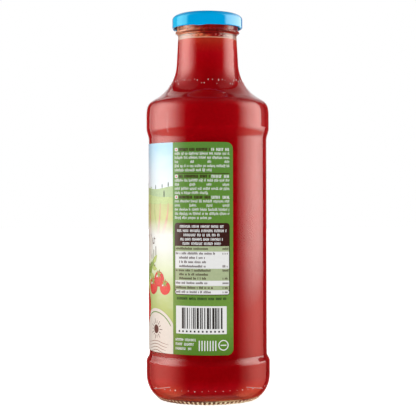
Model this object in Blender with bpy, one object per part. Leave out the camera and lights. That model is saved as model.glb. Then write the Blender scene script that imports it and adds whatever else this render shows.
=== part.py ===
"""A shut glass bottle of tomato passata, with a twist-off cap and a wrap-round paper label.

Metres, +Z up. The origin is the centre of the ring that the bottle stands on. Angles round the
bottle are measured from -Y, which the label's information panel faces, towards +X.
"""

import math

import bmesh
import bpy
from mathutils import Vector

MM = 0.001

# Driving sizes of the glass, from the ring that it stands on up to the mouth
STANDING_RING_INNER_RADIUS = 24.5 * MM
STANDING_RING_OUTER_RADIUS = 26.2 * MM
PUSH_UP_HEIGHT = 3.4 * MM
LOWER_BAND_RADIUS = 37.8 * MM
PANEL_RADIUS = 36.0 * MM
UPPER_BAND_RADIUS = 37.5 * MM
NECK_ROOT_RADIUS = 18.85 * MM
NECK_TOP_RADIUS = 17.9 * MM
BEAD_RADIUS = 19.6 * MM
FINISH_RADIUS = 18.7 * MM

HEEL_TOP = 15.5 * MM
LOWER_BAND_TOP = 21.5 * MM
PANEL_BOTTOM = 30.0 * MM
PANEL_TOP = 157.3 * MM
UPPER_BAND_BOTTOM = 165.0 * MM
SHOULDER_BOTTOM = 172.1 * MM
NECK_BOTTOM = 204.3 * MM
NECK_TOP = 221.2 * MM
BEAD_HEIGHT = 223.0 * MM
MOUTH_HEIGHT = 232.7 * MM

# Where the rounded shoulder turns over into the hollow curve under the neck
SHOULDER_TURN = Vector((31.2 * MM, 183.2 * MM))
SHOULDER_SLOPE = math.radians(31.0)
SHOULDER_LOWER_REACH = 8.0 * MM
SHOULDER_TURN_REACH = 5.1 * MM
HOLLOW_TURN_REACH = 7.3 * MM
HOLLOW_NECK_REACH = 10.3 * MM

# Thickness of the glass
WALL = 2.2 * MM
BASE_CENTRE_THICKNESS = 3.8 * MM
HEEL_THICKNESS = 5.4 * MM
INNER_HEEL_REACH = 11.0 * MM
BORE_RADIUS = 15.7 * MM
LIP_RADIUS = 1.1 * MM

# The interrupted thread that the cap's lugs hook under
THREAD_COUNT = 4
THREAD_SPAN = math.radians(68.0)
THREAD_LOW_END_ANGLE = math.radians(-70.0)
THREAD_LOW_END_HEIGHT = 226.1 * MM
THREAD_RISE = 2.6 * MM
THREAD_DEPTH = 1.3 * MM
THREAD_ROOT_WIDTH = 2.2 * MM
THREAD_CREST_WIDTH = 0.9 * MM
THREAD_BURIED_DEPTH = 0.6 * MM
THREAD_STEPS = 8

# Passata
FILL_HEIGHT = 218.0 * MM
FILLING_CLEARANCE = 0.3 * MM
MENISCUS_HEIGHT = 0.7 * MM
MENISCUS_REACH = 2.5 * MM

# Cap
CAP_RADIUS = 21.5 * MM
CAP_BOTTOM = 225.8 * MM
CAP_TOP = 234.6 * MM
CAP_UNDERSIDE = 233.1 * MM
CAP_CORNER_REACH = 5.5 * MM
CAP_CORNER_DROP = 3.5 * MM
CAP_SHELL = 0.5 * MM
CURL_HEIGHT = 1.7 * MM
CURL_INNER_RADIUS = 20.35 * MM
RIM_INNER_RADIUS = 15.6 * MM
PANEL_DROP = 0.8 * MM
PANEL_EDGE_RADIUS = 14.8 * MM
BUTTON_RADIUS = 8.0 * MM
BUTTON_RISE = 0.35 * MM
LUG_COUNT = 4
LUG_ANGLE = math.radians(-13.0)
LUG_HALF_SPAN = math.radians(15.0)
LUG_DROP = 0.5 * MM
LUG_PUSH = 0.45 * MM

# Label
LABEL_BOTTOM = 30.3 * MM
LABEL_TOP = 154.8 * MM
LABEL_END_ANGLE = math.radians(24.0)
LABEL_WRAP = math.radians(276.0)
LABEL_CORNER_RADIUS = 3.8 * MM
LABEL_CORNER_STEPS = 4
LABEL_CLEARANCE = 0.1 * MM
LABEL_THICKNESS = 0.12 * MM
LABEL_STEP = math.radians(4.0)
LABEL_SKEW = 0.006

# Fineness of the solids
GLASS_SEGMENTS = 52
FILLING_SEGMENTS = 36
CAP_SEGMENTS = 56
POINT_MERGE = 0.001 * MM
SMOOTH_LIMIT = math.radians(35.0)


def clear_scene():
    for item in list(bpy.data.objects):
        bpy.data.objects.remove(item)


def make_material(name, colour, roughness, metallic=0.0, transmission=0.0):
    material = bpy.data.materials.new(name)
    material.use_nodes = True
    shader = material.node_tree.nodes["Principled BSDF"]
    shader.inputs["Base Color"].default_value = (*colour, 1.0)
    shader.inputs["Roughness"].default_value = roughness
    shader.inputs["Metallic"].default_value = metallic
    shader.inputs["Transmission Weight"].default_value = transmission
    return material


def add_object(name, bm, material):
    """Turns the bmesh into an object with that name, facing out and shaded smooth."""
    bmesh.ops.recalc_face_normals(bm, faces=bm.faces)
    mesh = bpy.data.meshes.new(name)
    bm.to_mesh(mesh)
    bm.free()
    mesh.shade_smooth()
    mesh.set_sharp_from_angle(angle=SMOOTH_LIMIT)
    mesh.materials.append(material)
    item = bpy.data.objects.new(name, mesh)
    bpy.context.scene.collection.objects.link(item)
    return item


# Outlines are lists of points (radius, height)


def arc(centre, radii, start, end, steps):
    """Points on an ellipse's arc, with its start and end in degrees from +radius towards +height."""
    points = []
    for step in range(steps + 1):
        angle = math.radians(start + (end - start) * step / steps)
        points.append(Vector((centre[0] + radii[0] * math.cos(angle), centre[1] + radii[1] * math.sin(angle))))
    return points


def bezier(start, start_handle, end_handle, end, steps):
    points = []
    for step in range(steps + 1):
        t = step / steps
        s = 1 - t
        points.append(start * s**3 + start_handle * 3 * s * s * t + end_handle * 3 * s * t * t + end * t**3)
    return points


def eased(start, end, steps, level_ends=False):
    """A smooth S between two points, upright at both ends, or level at both ends."""
    points = []
    for step in range(steps + 1):
        along = step / steps
        share = (1 - math.cos(math.pi * along)) / 2
        across, up = (along, share) if level_ends else (share, along)
        points.append(Vector((start[0] + (end[0] - start[0]) * across, start[1] + (end[1] - start[1]) * up)))
    return points


def joined(*runs):
    """The runs one after another, without points that repeat."""
    outline = []
    for run in runs:
        for point in run:
            point = Vector(point)
            if not outline or (point - outline[-1]).length > POINT_MERGE:
                outline.append(point)
    return outline


def moved_inwards(outline, distance):
    """The outline moved towards the axis, square to itself. It runs upwards."""
    moved = []
    for i, point in enumerate(outline):
        along = (outline[min(i + 1, len(outline) - 1)] - outline[max(i - 1, 0)]).normalized()
        moved.append(point + Vector((-along.y, along.x)) * distance)
    return moved


def side_outline(steps):
    """The outside of the glass from the top of the heel to the bottom of the neck."""
    up_slope = Vector((-math.cos(SHOULDER_SLOPE), math.sin(SHOULDER_SLOPE)))
    shoulder_start = Vector((UPPER_BAND_RADIUS, SHOULDER_BOTTOM))
    neck_root = Vector((NECK_ROOT_RADIUS, NECK_BOTTOM))
    neck_slope = (Vector((NECK_TOP_RADIUS, NECK_TOP)) - neck_root).normalized()
    return joined(
        eased((LOWER_BAND_RADIUS, LOWER_BAND_TOP), (PANEL_RADIUS, PANEL_BOTTOM), steps),
        eased((PANEL_RADIUS, PANEL_TOP), (UPPER_BAND_RADIUS, UPPER_BAND_BOTTOM), steps),
        bezier(
            shoulder_start,
            shoulder_start + Vector((0, SHOULDER_LOWER_REACH)),
            SHOULDER_TURN - up_slope * SHOULDER_TURN_REACH,
            SHOULDER_TURN,
            steps + 1,
        ),
        bezier(
            SHOULDER_TURN,
            SHOULDER_TURN + up_slope * HOLLOW_TURN_REACH,
            neck_root - neck_slope * HOLLOW_NECK_REACH,
            neck_root,
            steps + 1,
        ),
    )


def heel_outline(steps):
    """The rounded heel, from the standing ring up to the lower band."""
    reach = LOWER_BAND_RADIUS - STANDING_RING_OUTER_RADIUS
    return arc((STANDING_RING_OUTER_RADIUS, HEEL_TOP), (reach, HEEL_TOP), -90, 0, steps)


def push_up_outline(steps):
    """The hollow under the base, from the axis out to the standing ring."""
    return eased((0, PUSH_UP_HEIGHT), (STANDING_RING_INNER_RADIUS, 0), steps, level_ends=True)


def neck_finish_outline():
    """The outside from the neck's bottom over the bead to the lip, where the bore starts."""
    bead_rise = BEAD_HEIGHT - NECK_TOP
    lip_centre = (FINISH_RADIUS - LIP_RADIUS, MOUTH_HEIGHT - LIP_RADIUS)
    inner_lip_centre = (BORE_RADIUS + LIP_RADIUS, MOUTH_HEIGHT - LIP_RADIUS)
    return joined(
        [(NECK_ROOT_RADIUS, NECK_BOTTOM), (NECK_TOP_RADIUS, NECK_TOP)],
        eased((NECK_TOP_RADIUS, NECK_TOP), (BEAD_RADIUS, BEAD_HEIGHT - bead_rise / 4), 3),
        [(BEAD_RADIUS, BEAD_HEIGHT + bead_rise / 4)],
        [(FINISH_RADIUS, BEAD_HEIGHT + bead_rise * 3 / 4)],
        arc(lip_centre, (LIP_RADIUS, LIP_RADIUS), 0, 90, 2),
        arc(inner_lip_centre, (LIP_RADIUS, LIP_RADIUS), 90, 180, 2),
    )


def inside_outline(steps):
    """The inside of the glass, from the axis at the base up to the bottom of the neck's bore."""
    inner_radius = LOWER_BAND_RADIUS - WALL
    heel_start = inner_radius - INNER_HEEL_REACH
    heel_rise = HEEL_TOP - HEEL_THICKNESS
    return joined(
        eased((0, PUSH_UP_HEIGHT + BASE_CENTRE_THICKNESS), (heel_start, HEEL_THICKNESS), 2, level_ends=True),
        arc((heel_start, HEEL_TOP), (INNER_HEEL_REACH, heel_rise), -90, 0, steps + 1),
        moved_inwards(side_outline(steps), WALL),
        [(BORE_RADIUS, NECK_TOP)],
    )


def turned(outline, segments):
    """A bmesh of the closed outline turned about the axis. Its two ends lie on the axis, or meet."""
    bm = bmesh.new()
    corners = [bm.verts.new((0, -radius, height)) for radius, height in outline]
    edges = [bm.edges.new(pair) for pair in zip(corners, corners[1:])]
    bmesh.ops.spin(
        bm,
        geom=corners + edges,
        cent=(0, 0, 0),
        axis=(0, 0, 1),
        angle=math.tau,
        steps=segments,
        use_merge=True,
    )
    bmesh.ops.remove_doubles(bm, verts=bm.verts, dist=POINT_MERGE)
    return bm


# Glass


def thread_ridge(bm, low_end_angle):
    """One raised ridge of the interrupted thread, thinning out at both ends."""
    rings = []
    for step in range(THREAD_STEPS + 1):
        t = step / THREAD_STEPS
        fullness = min(1.0, 4 * min(t, 1 - t) + 0.05)
        angle = low_end_angle + THREAD_SPAN * t
        height = THREAD_LOW_END_HEIGHT + THREAD_RISE * t
        root = FINISH_RADIUS - THREAD_BURIED_DEPTH
        crest = FINISH_RADIUS + THREAD_DEPTH * fullness
        section = [
            (root, height - THREAD_ROOT_WIDTH / 2),
            (crest, height - THREAD_CREST_WIDTH / 2),
            (crest, height + THREAD_CREST_WIDTH / 2),
            (root, height + THREAD_ROOT_WIDTH / 2),
        ]
        rings.append([bm.verts.new((r * math.sin(angle), -r * math.cos(angle), z)) for r, z in section])
    for ring, following in zip(rings, rings[1:]):
        for i in range(len(ring)):
            j = (i + 1) % len(ring)
            bm.faces.new((ring[i], ring[j], following[j], following[i]))
    bm.faces.new(rings[0])
    bm.faces.new(reversed(rings[-1]))


def make_thread(material):
    """The thread's ridges, as a helper that is joined to the glass and isn't a piece of its own."""
    bm = bmesh.new()
    for number in range(THREAD_COUNT):
        thread_ridge(bm, THREAD_LOW_END_ANGLE + math.tau * number / THREAD_COUNT)
    ridges = add_object("thread_ridges", bm, material)
    ridges.hide_render = True
    ridges.display_type = "WIRE"
    return ridges


def make_bottle(material):
    outside = joined(push_up_outline(3), heel_outline(6), side_outline(5), neck_finish_outline())
    outline = joined(outside, reversed(inside_outline(4)))
    bottle = add_object("glass_bottle", turned(outline, GLASS_SEGMENTS), material)
    union = bottle.modifiers.new("thread", "BOOLEAN")
    union.operation = "UNION"
    union.object = make_thread(material)
    return bottle


# Passata


def make_passata(material):
    """The filling, up to its level in the neck, where it climbs the glass a little."""
    bore = moved_inwards(inside_outline(4), FILLING_CLEARANCE)
    bore[0].x = 0.0
    neck_bottom, neck_top = bore[-2], bore[-1]
    share = (FILL_HEIGHT - neck_bottom.y) / (neck_top.y - neck_bottom.y)
    edge = neck_bottom.lerp(neck_top, share)
    middle = FILL_HEIGHT - MENISCUS_HEIGHT
    meniscus = eased((edge.x, FILL_HEIGHT), (edge.x - MENISCUS_REACH, middle), 2, level_ends=True)
    outline = joined(bore[:-1], meniscus, [(0, middle)])
    return add_object("passata", turned(outline, FILLING_SEGMENTS), material)


# Cap


def lug_strength(angle):
    """From 0 between the lugs to 1 in the middle of each."""
    pitch = math.tau / LUG_COUNT
    away = abs((angle - LUG_ANGLE + pitch / 2) % pitch - pitch / 2)
    return (1 + math.cos(math.pi * min(1.0, away / LUG_HALF_SPAN))) / 2


def press_lugs(bm):
    """Presses the curl under the skirt down and in at each lug."""
    for corner in bm.verts:
        below = CAP_BOTTOM + CURL_HEIGHT - corner.co.z
        if below <= POINT_MERGE:
            continue
        radius = math.hypot(corner.co.x, corner.co.y)
        strength = lug_strength(math.atan2(corner.co.x, -corner.co.y))
        depth = min(1.0, below / CURL_HEIGHT)
        inwards = LUG_PUSH if radius < CAP_RADIUS - CAP_SHELL * 2 else 0.0
        pushed = (radius - inwards * strength * depth) / radius
        corner.co.x *= pushed
        corner.co.y *= pushed
        corner.co.z -= LUG_DROP * strength * depth


def make_cap(material):
    """The pressed metal cap: a button in a sunk panel, a raised rim, a skirt and a rolled curl."""
    corner_centre = (CAP_RADIUS - CAP_CORNER_REACH, CAP_TOP - CAP_CORNER_DROP)
    panel_height = CAP_TOP - PANEL_DROP
    curl_centre = ((CAP_RADIUS + CURL_INNER_RADIUS) / 2, CAP_BOTTOM + CURL_HEIGHT / 2)
    curl_radii = ((CAP_RADIUS - CURL_INNER_RADIUS) / 2, CURL_HEIGHT / 2)
    skirt_inner_radius = CAP_RADIUS - CAP_SHELL
    inner_radii = (CAP_CORNER_REACH - CAP_SHELL, CAP_CORNER_DROP - CAP_SHELL)
    inner_turn = math.degrees(math.asin((CAP_UNDERSIDE - corner_centre[1]) / inner_radii[1]))
    outline = joined(
        eased((0, panel_height + BUTTON_RISE), (BUTTON_RADIUS, panel_height), 3, level_ends=True),
        eased((PANEL_EDGE_RADIUS, panel_height), (RIM_INNER_RADIUS, CAP_TOP), 2, level_ends=True),
        reversed(arc(corner_centre, (CAP_CORNER_REACH, CAP_CORNER_DROP), 0, 90, 4)),
        reversed(arc(curl_centre, curl_radii, -180, 0, 6)),
        [(CURL_INNER_RADIUS, CAP_BOTTOM + CURL_HEIGHT), (skirt_inner_radius, CAP_BOTTOM + CURL_HEIGHT + CAP_SHELL)],
        arc(corner_centre, inner_radii, 0, inner_turn, 2),
        [(0, CAP_UNDERSIDE)],
    )
    bm = turned(outline, CAP_SEGMENTS)
    press_lugs(bm)
    return add_object("cap", bm, material)


# Label


def label_outline():
    """The flat label's rounded rectangle, as points (angle, height)."""
    start = LABEL_END_ANGLE - LABEL_WRAP
    reach = LABEL_CORNER_RADIUS / PANEL_RADIUS
    corners = [
        (LABEL_END_ANGLE - reach, LABEL_BOTTOM + LABEL_CORNER_RADIUS, -90),
        (LABEL_END_ANGLE - reach, LABEL_TOP - LABEL_CORNER_RADIUS, 0),
        (start + reach, LABEL_TOP - LABEL_CORNER_RADIUS, 90),
        (start + reach, LABEL_BOTTOM + LABEL_CORNER_RADIUS, 180),
    ]
    outline = []
    for angle, height, turn in corners:
        outline += arc((angle, height), (reach, LABEL_CORNER_RADIUS), turn, turn + 90, LABEL_CORNER_STEPS)
    return outline


def make_label(material):
    """A paper sheet cut flat, then bent round the bottle and given its thickness."""
    bm = bmesh.new()
    bm.faces.new([bm.verts.new((angle, 0, height)) for angle, height in label_outline()])
    cut = LABEL_END_ANGLE - LABEL_WRAP + LABEL_STEP
    while cut < LABEL_END_ANGLE - LABEL_STEP / 2:
        everything = bm.verts[:] + bm.edges[:] + bm.faces[:]
        bmesh.ops.bisect_plane(bm, geom=everything, plane_co=(cut, 0, 0), plane_no=(1, 0, 0))
        cut += LABEL_STEP
    grown = bmesh.ops.extrude_face_region(bm, geom=bm.faces[:])
    outer = {item for item in grown["geom"] if isinstance(item, bmesh.types.BMVert)}
    inner_radius = PANEL_RADIUS + LABEL_CLEARANCE
    for corner in bm.verts:
        angle, height = corner.co.x, corner.co.z
        height -= angle * PANEL_RADIUS * LABEL_SKEW
        radius = inner_radius + (LABEL_THICKNESS if corner in outer else 0.0)
        corner.co = (radius * math.sin(angle), -radius * math.cos(angle), height)
    return add_object("label", bm, material)


def main():
    clear_scene()
    make_bottle(make_material("clear_glass", (0.93, 0.96, 0.93), 0.02, transmission=1.0))
    make_passata(make_material("tomato_passata", (0.50, 0.010, 0.010), 0.25))
    make_cap(make_material("blue_enamel", (0.0, 0.36, 0.70), 0.2, metallic=0.3))
    make_label(make_material("label_paper", (0.17, 0.33, 0.07), 0.45))


main()
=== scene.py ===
"""The dressed look of a shut glass bottle of tomato passata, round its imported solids.

Metres, +Z up. Angles round the bottle are measured from -Y, where the label's information panel
faces, towards +X. The flat label is drawn in millimetres: s runs along its width and z is the height.
"""

import math
import random

import bmesh
import bpy
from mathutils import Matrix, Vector


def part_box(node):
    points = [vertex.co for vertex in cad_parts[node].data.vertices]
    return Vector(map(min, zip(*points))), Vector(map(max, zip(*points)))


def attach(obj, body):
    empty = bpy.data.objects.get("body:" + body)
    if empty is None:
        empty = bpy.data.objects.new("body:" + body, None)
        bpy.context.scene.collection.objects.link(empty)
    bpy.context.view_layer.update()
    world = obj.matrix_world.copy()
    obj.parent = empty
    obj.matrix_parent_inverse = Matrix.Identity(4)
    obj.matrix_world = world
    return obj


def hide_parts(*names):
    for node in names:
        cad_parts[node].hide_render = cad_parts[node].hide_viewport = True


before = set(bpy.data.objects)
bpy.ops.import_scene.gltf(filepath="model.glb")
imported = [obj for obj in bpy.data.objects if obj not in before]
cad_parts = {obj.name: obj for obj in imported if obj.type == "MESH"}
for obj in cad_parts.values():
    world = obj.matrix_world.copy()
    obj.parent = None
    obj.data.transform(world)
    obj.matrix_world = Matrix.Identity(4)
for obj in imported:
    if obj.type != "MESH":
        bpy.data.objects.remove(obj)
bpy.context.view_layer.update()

MM = 0.001

# Heights and radii of the glass, as in the solids
STANDING_RING_INNER_RADIUS = 24.5 * MM
STANDING_RING_OUTER_RADIUS = 26.2 * MM
PUSH_UP_HEIGHT = 3.4 * MM
LOWER_BAND_RADIUS = 37.8 * MM
PANEL_RADIUS = 36.0 * MM
UPPER_BAND_RADIUS = 37.5 * MM
NECK_ROOT_RADIUS = 18.85 * MM
NECK_TOP_RADIUS = 17.9 * MM
BEAD_RADIUS = 19.6 * MM
FINISH_RADIUS = 18.7 * MM
HEEL_TOP = 15.5 * MM
LOWER_BAND_TOP = 23.3 * MM
PANEL_BOTTOM = 28.2 * MM
PANEL_TOP = 157.3 * MM
UPPER_BAND_BOTTOM = 165.0 * MM
SHOULDER_BOTTOM = 172.1 * MM
NECK_BOTTOM = 204.3 * MM
NECK_TOP = 221.2 * MM
BEAD_HEIGHT = 223.0 * MM
BEAD_HALF_HEIGHT = 1.2 * MM
MOUTH_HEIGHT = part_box("glass_bottle")[1].z
SHOULDER_TURN = Vector((31.2 * MM, 183.2 * MM))
SHOULDER_SLOPE = math.radians(31.0)
SHOULDER_LOWER_REACH = 8.0 * MM
SHOULDER_TURN_REACH = 5.1 * MM
HOLLOW_TURN_REACH = 7.3 * MM
HOLLOW_NECK_REACH = 10.3 * MM
WALL = 2.2 * MM
BASE_CENTRE_THICKNESS = 3.8 * MM
HEEL_THICKNESS = 5.4 * MM
INNER_HEEL_REACH = 11.0 * MM
BORE_RADIUS = 15.7 * MM
LIP_RADIUS = 1.1 * MM

# The interrupted thread
THREAD_COUNT = 4
THREAD_SPAN = math.radians(68.0)
THREAD_LOW_END_ANGLE = math.radians(-70.0)
THREAD_LOW_END_HEIGHT = 226.1 * MM
THREAD_RISE = 2.6 * MM
THREAD_DEPTH = 1.25 * MM
THREAD_HALF_WIDTH = 1.2 * MM

# Fine marks moulded into the glass
HEEL_DOT_COUNT = 56
HEEL_DOT_HEIGHT = 9.4 * MM
HEEL_DOT_RADIUS = 0.42 * MM
HEEL_SEAM_START = (math.radians(37.0), 10.9 * MM)
HEEL_SEAM_END = (math.radians(64.0), 8.1 * MM)
HEEL_SEAM_WIDTH = 0.42 * MM
HEEL_SEAM_RISE = 0.1 * MM
HEEL_SEAM_STEPS = 24
NECK_MARK_COUNT = 64
NECK_MARK_HEIGHT = 191.6 * MM
NECK_MARK_SPREAD = 3.2 * MM
NECK_MARK_RADIUS = 0.34 * MM
KNURL_COUNT = 72
KNURL_RISE = 0.55 * MM
KNURL_FOOT = 0.05 * MM
KNURL_TOP = 3.4 * MM
KNURL_DEPTH = 1.9 * MM
KNURL_WAY = Vector((0.75, -0.65))
KNURL_BACK = Vector((-0.10, 0.12)) * MM
FLOOR_GAP = 0.02 * MM
CODE_DOTS = 9
CODE_DOT_ANGLE = math.radians(-39.5)
CODE_DOT_LOW = 161.5 * MM
CODE_DOT_HIGH = 171.6 * MM
CODE_DOT_RADIUS = 0.28 * MM

# Passata
FILL_HEIGHT = 218.6 * MM
FILLING_REACH = 0.08 * MM
MENISCUS_HEIGHT = 0.8 * MM
MENISCUS_REACH = 2.5 * MM
FILM_THICKNESS = 0.12 * MM

# Cap
CAP_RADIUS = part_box("cap")[1].x
CAP_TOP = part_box("cap")[1].z
CAP_BOTTOM = 225.8 * MM
CAP_UNDERSIDE = 233.1 * MM
CAP_CORNER_REACH = 5.5 * MM
CAP_CORNER_DROP = 3.5 * MM
CAP_SHELL = 0.5 * MM
CURL_HEIGHT = 1.7 * MM
CURL_INNER_RADIUS = 20.35 * MM
RIM_INNER_RADIUS = 15.6 * MM
PANEL_DROP = 0.8 * MM
PANEL_EDGE_RADIUS = 14.8 * MM
PANEL_STEP_RADIUS = 13.4 * MM
BUTTON_RADIUS = 8.0 * MM
BUTTON_RISE = 0.35 * MM
LUG_COUNT = 4
LUG_ANGLE = math.radians(-13.0)
LUG_HALF_SPAN = math.radians(15.0)
LUG_DROP = 0.5 * MM
LUG_PUSH = 0.45 * MM

# Fineness
COARSE_SEGMENTS = 192
FINE_SEGMENTS = 960
POINT_MERGE = 0.001 * MM
SMOOTH_LIMIT = math.radians(35.0)

# Colours of the passata by its height, of the film across the neck and of the artwork by its height,
# as stops of (share, colour)
# The passata's tones hold painted light: paler and more orange near its base and top, where light gets in,
# and painted shade at the shoulder.
PASSATA_TONES_WITH_PAINTED_LIGHT = (
    (0.023, (0.66, 0.120, 0.040)), (0.027, (0.56, 0.030, 0.012)), (0.034, (0.46, 0.0040, 0.007)),
    (0.05, (0.39, 0.0008, 0.006)), (0.075, (0.270, 0.0003, 0.003)), (0.10, (0.262, 0.0003, 0.003)),
    (0.20, (0.305, 0.0003, 0.004)), (0.5, (0.325, 0.0003, 0.005)), (0.78, (0.315, 0.0003, 0.004)),
    (0.86, (0.290, 0.0003, 0.003)), (0.93, (0.34, 0.0004, 0.004)), (0.955, (0.37, 0.0006, 0.006)),
    (0.98, (0.39, 0.012, 0.008)), (1.0, (0.44, 0.040, 0.018)),
)
FILM_TONES = (
    (0.06, (0.78, 0.34, 0.20)), (0.24, (0.66, 0.17, 0.08)), (0.40, (0.55, 0.06, 0.025)),
    (0.50, (0.36, 0.003, 0.002)), (0.86, (0.33, 0.003, 0.003)), (0.96, (0.36, 0.02, 0.015)),
    (1.0, (0.42, 0.09, 0.07)),
)
ARTWORK_TONES = (
    (0.0, (0.24, 0.34, 0.07)), (0.16, (0.36, 0.46, 0.12)), (0.30, (0.46, 0.56, 0.22)),
    (0.40, (0.64, 0.70, 0.46)), (0.50, (0.74, 0.74, 0.70)), (0.64, (0.76, 0.74, 0.70)),
    (0.76, (0.72, 0.755, 0.77)), (0.86, (0.62, 0.72, 0.79)), (0.94, (0.44, 0.65, 0.78)),
    (1.0, (0.34, 0.60, 0.78)),
)

# Plain inks: a colour, and how far it varies. Inks of the field: the colour that fades
INKS = {
    "dark_green": ((0.020, 0.050, 0.012), 0.06),
    "leaf_dark": ((0.10, 0.26, 0.05), 0.1),
    "leaf_green": ((0.24, 0.36, 0.07), 0.2),
    "leaf_light": ((0.42, 0.50, 0.13), 0.15),
    "white": ((0.70, 0.70, 0.69), 0.02),
    "cream": ((0.67, 0.63, 0.56), 0.03),
    "brown": ((0.045, 0.010, 0.008), 0.1),
    "soft_brown": ((0.10, 0.045, 0.035), 0.1),
    "thin_brown": ((0.17, 0.075, 0.05), 0.1),
    "grey": ((0.030, 0.025, 0.024), 0.1),
    "pale_green": ((0.36, 0.42, 0.24), 0.04),
    "far_hill": ((0.34, 0.46, 0.22), 0.08),
    "near_hill": ((0.42, 0.52, 0.19), 0.08),
    "tomato_light": ((0.64, 0.025, 0.02), 0.1),
}
FADING_INKS = {
    "field": (0.50, 0.52, 0.19),
    "furrow": (0.60, 0.33, 0.20),
    "furrow_green": (0.40, 0.46, 0.14),
}
INK_LEVEL = 0.93
FADE_TONE = (0.76, 0.74, 0.70)
FILM_PAINTED_SHADE_SPAN = (219.0 * MM, 226.0 * MM)


# Materials


def new_material(name):
    material = bpy.data.materials.new(name)
    material.use_nodes = True
    return material, material.node_tree.nodes["Principled BSDF"]


def new_node(beside, kind):
    """A node in the tree that the given node or socket is in."""
    return beside.id_data.nodes.new("ShaderNode" + kind)


def full_colour(value):
    """A colour with its alpha, from three numbers, or from one number for a grey."""
    return (*value, 1.0) if isinstance(value, tuple) else (value, value, value, 1.0)


def set_input(target, value):
    """Links a socket to the input, or sets the input to a plain value."""
    if isinstance(value, bpy.types.NodeSocket):
        target.id_data.links.new(value, target)
    else:
        target.default_value = full_colour(value) if target.type == "RGBA" else value


def set_inputs(node, **values):
    """Sets a node's inputs by name, with spaces written as underscores."""
    for name, value in values.items():
        set_input(node.inputs[name.replace("_", " ")], value)


def position(shader):
    """The place on the object, in metres."""
    return new_node(shader, "TexCoord").outputs["Object"]


def flat_position(shader):
    """The place on the flat label, in metres: s, then z."""
    node = new_node(shader, "UVMap")
    node.uv_map = "flat"
    return node.outputs["UV"]


def noise_at(place, size, detail=3.0, stretch=(1.0, 1.0, 1.0)):
    """Noise from 0 to 1 with lumps of that size in metres."""
    scaled = new_node(place, "VectorMath")
    scaled.operation = "MULTIPLY"
    scaled.inputs[1].default_value = stretch
    set_input(scaled.inputs[0], place)
    node = new_node(place, "TexNoise")
    set_inputs(node, Vector=scaled.outputs["Vector"], Scale=1 / size, Detail=detail)
    return node.outputs["Fac"]


def ramp(value, *stops):
    """A colour for each value, from stops of (value, colour or grey)."""
    node = new_node(value, "ValToRGB")
    elements = node.color_ramp.elements
    while len(elements) < len(stops):
        elements.new(0.5)
    for element, (place, colour) in zip(elements, stops):
        element.position = place
        element.color = full_colour(colour)
    set_inputs(node, Fac=value)
    return node.outputs["Color"]


def mapped(value, low, high, new_low=0.0, new_high=1.0):
    node = new_node(value, "MapRange")
    set_inputs(node, Value=value, From_Min=low, From_Max=high, To_Min=new_low, To_Max=new_high)
    return node.outputs["Result"]


def part_of(place, axis):
    node = new_node(place, "SeparateXYZ")
    set_inputs(node, Vector=place)
    return node.outputs[axis]


def maths(operation, first, second=0.0):
    """One Math node. Each input is a socket or a plain number."""
    node = new_node(first, "Math")
    node.operation = operation
    for socket, value in zip(node.inputs, (first, second)):
        set_input(socket, value)
    return node.outputs["Value"]


def mixed(share, first, second, mode="MIX"):
    """Two colours mixed. Each input is a socket, a colour or a number, and one of them is a socket."""
    values = (share, first, second)
    node = new_node([value for value in values if isinstance(value, bpy.types.NodeSocket)][0], "Mix")
    node.data_type = "RGBA"
    node.blend_type = mode
    colours = [socket for socket in node.inputs if socket.type == "RGBA"]
    for socket, value in zip((node.inputs["Factor"], *colours), values):
        set_input(socket, value)
    return [socket for socket in node.outputs if socket.type == "RGBA"][0]


def times(*colours):
    """All the colours multiplied."""
    product = colours[0]
    for colour in colours[1:]:
        product = mixed(1.0, product, colour, "MULTIPLY")
    return product


def lighter(first, second):
    """The lighter one of two colours."""
    return mixed(1.0, first, second, "LIGHTEN")


def add_bump(shader, height, depth):
    node = new_node(shader, "Bump")
    set_inputs(node, Strength=1.0, Distance=depth, Height=height)
    set_inputs(shader, Normal=node.outputs["Normal"])


def glass_material():
    """Clear flint glass with the faint waviness of a blown wall. It lets light from lamps through."""
    material, shader = new_material("clear_glass")
    set_inputs(shader, Base_Color=(0.97, 0.985, 0.97), Roughness=0.0, IOR=1.5, Transmission_Weight=1.0)
    add_bump(shader, noise_at(position(shader), 9 * MM, 1.0, (1.0, 1.0, 0.6)), 0.02 * MM)
    clear = new_node(shader, "BsdfTransparent")
    set_inputs(clear, Color=(0.93, 0.95, 0.93))
    mix = new_node(shader, "MixShader")
    set_inputs(mix, Fac=new_node(shader, "LightPath").outputs["Is Shadow Ray"])
    set_input(mix.inputs[1], shader.outputs["BSDF"])
    set_input(mix.inputs[2], clear.outputs["BSDF"])
    set_inputs(material.node_tree.nodes["Material Output"], Surface=mix.outputs["Shader"])
    return material


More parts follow.
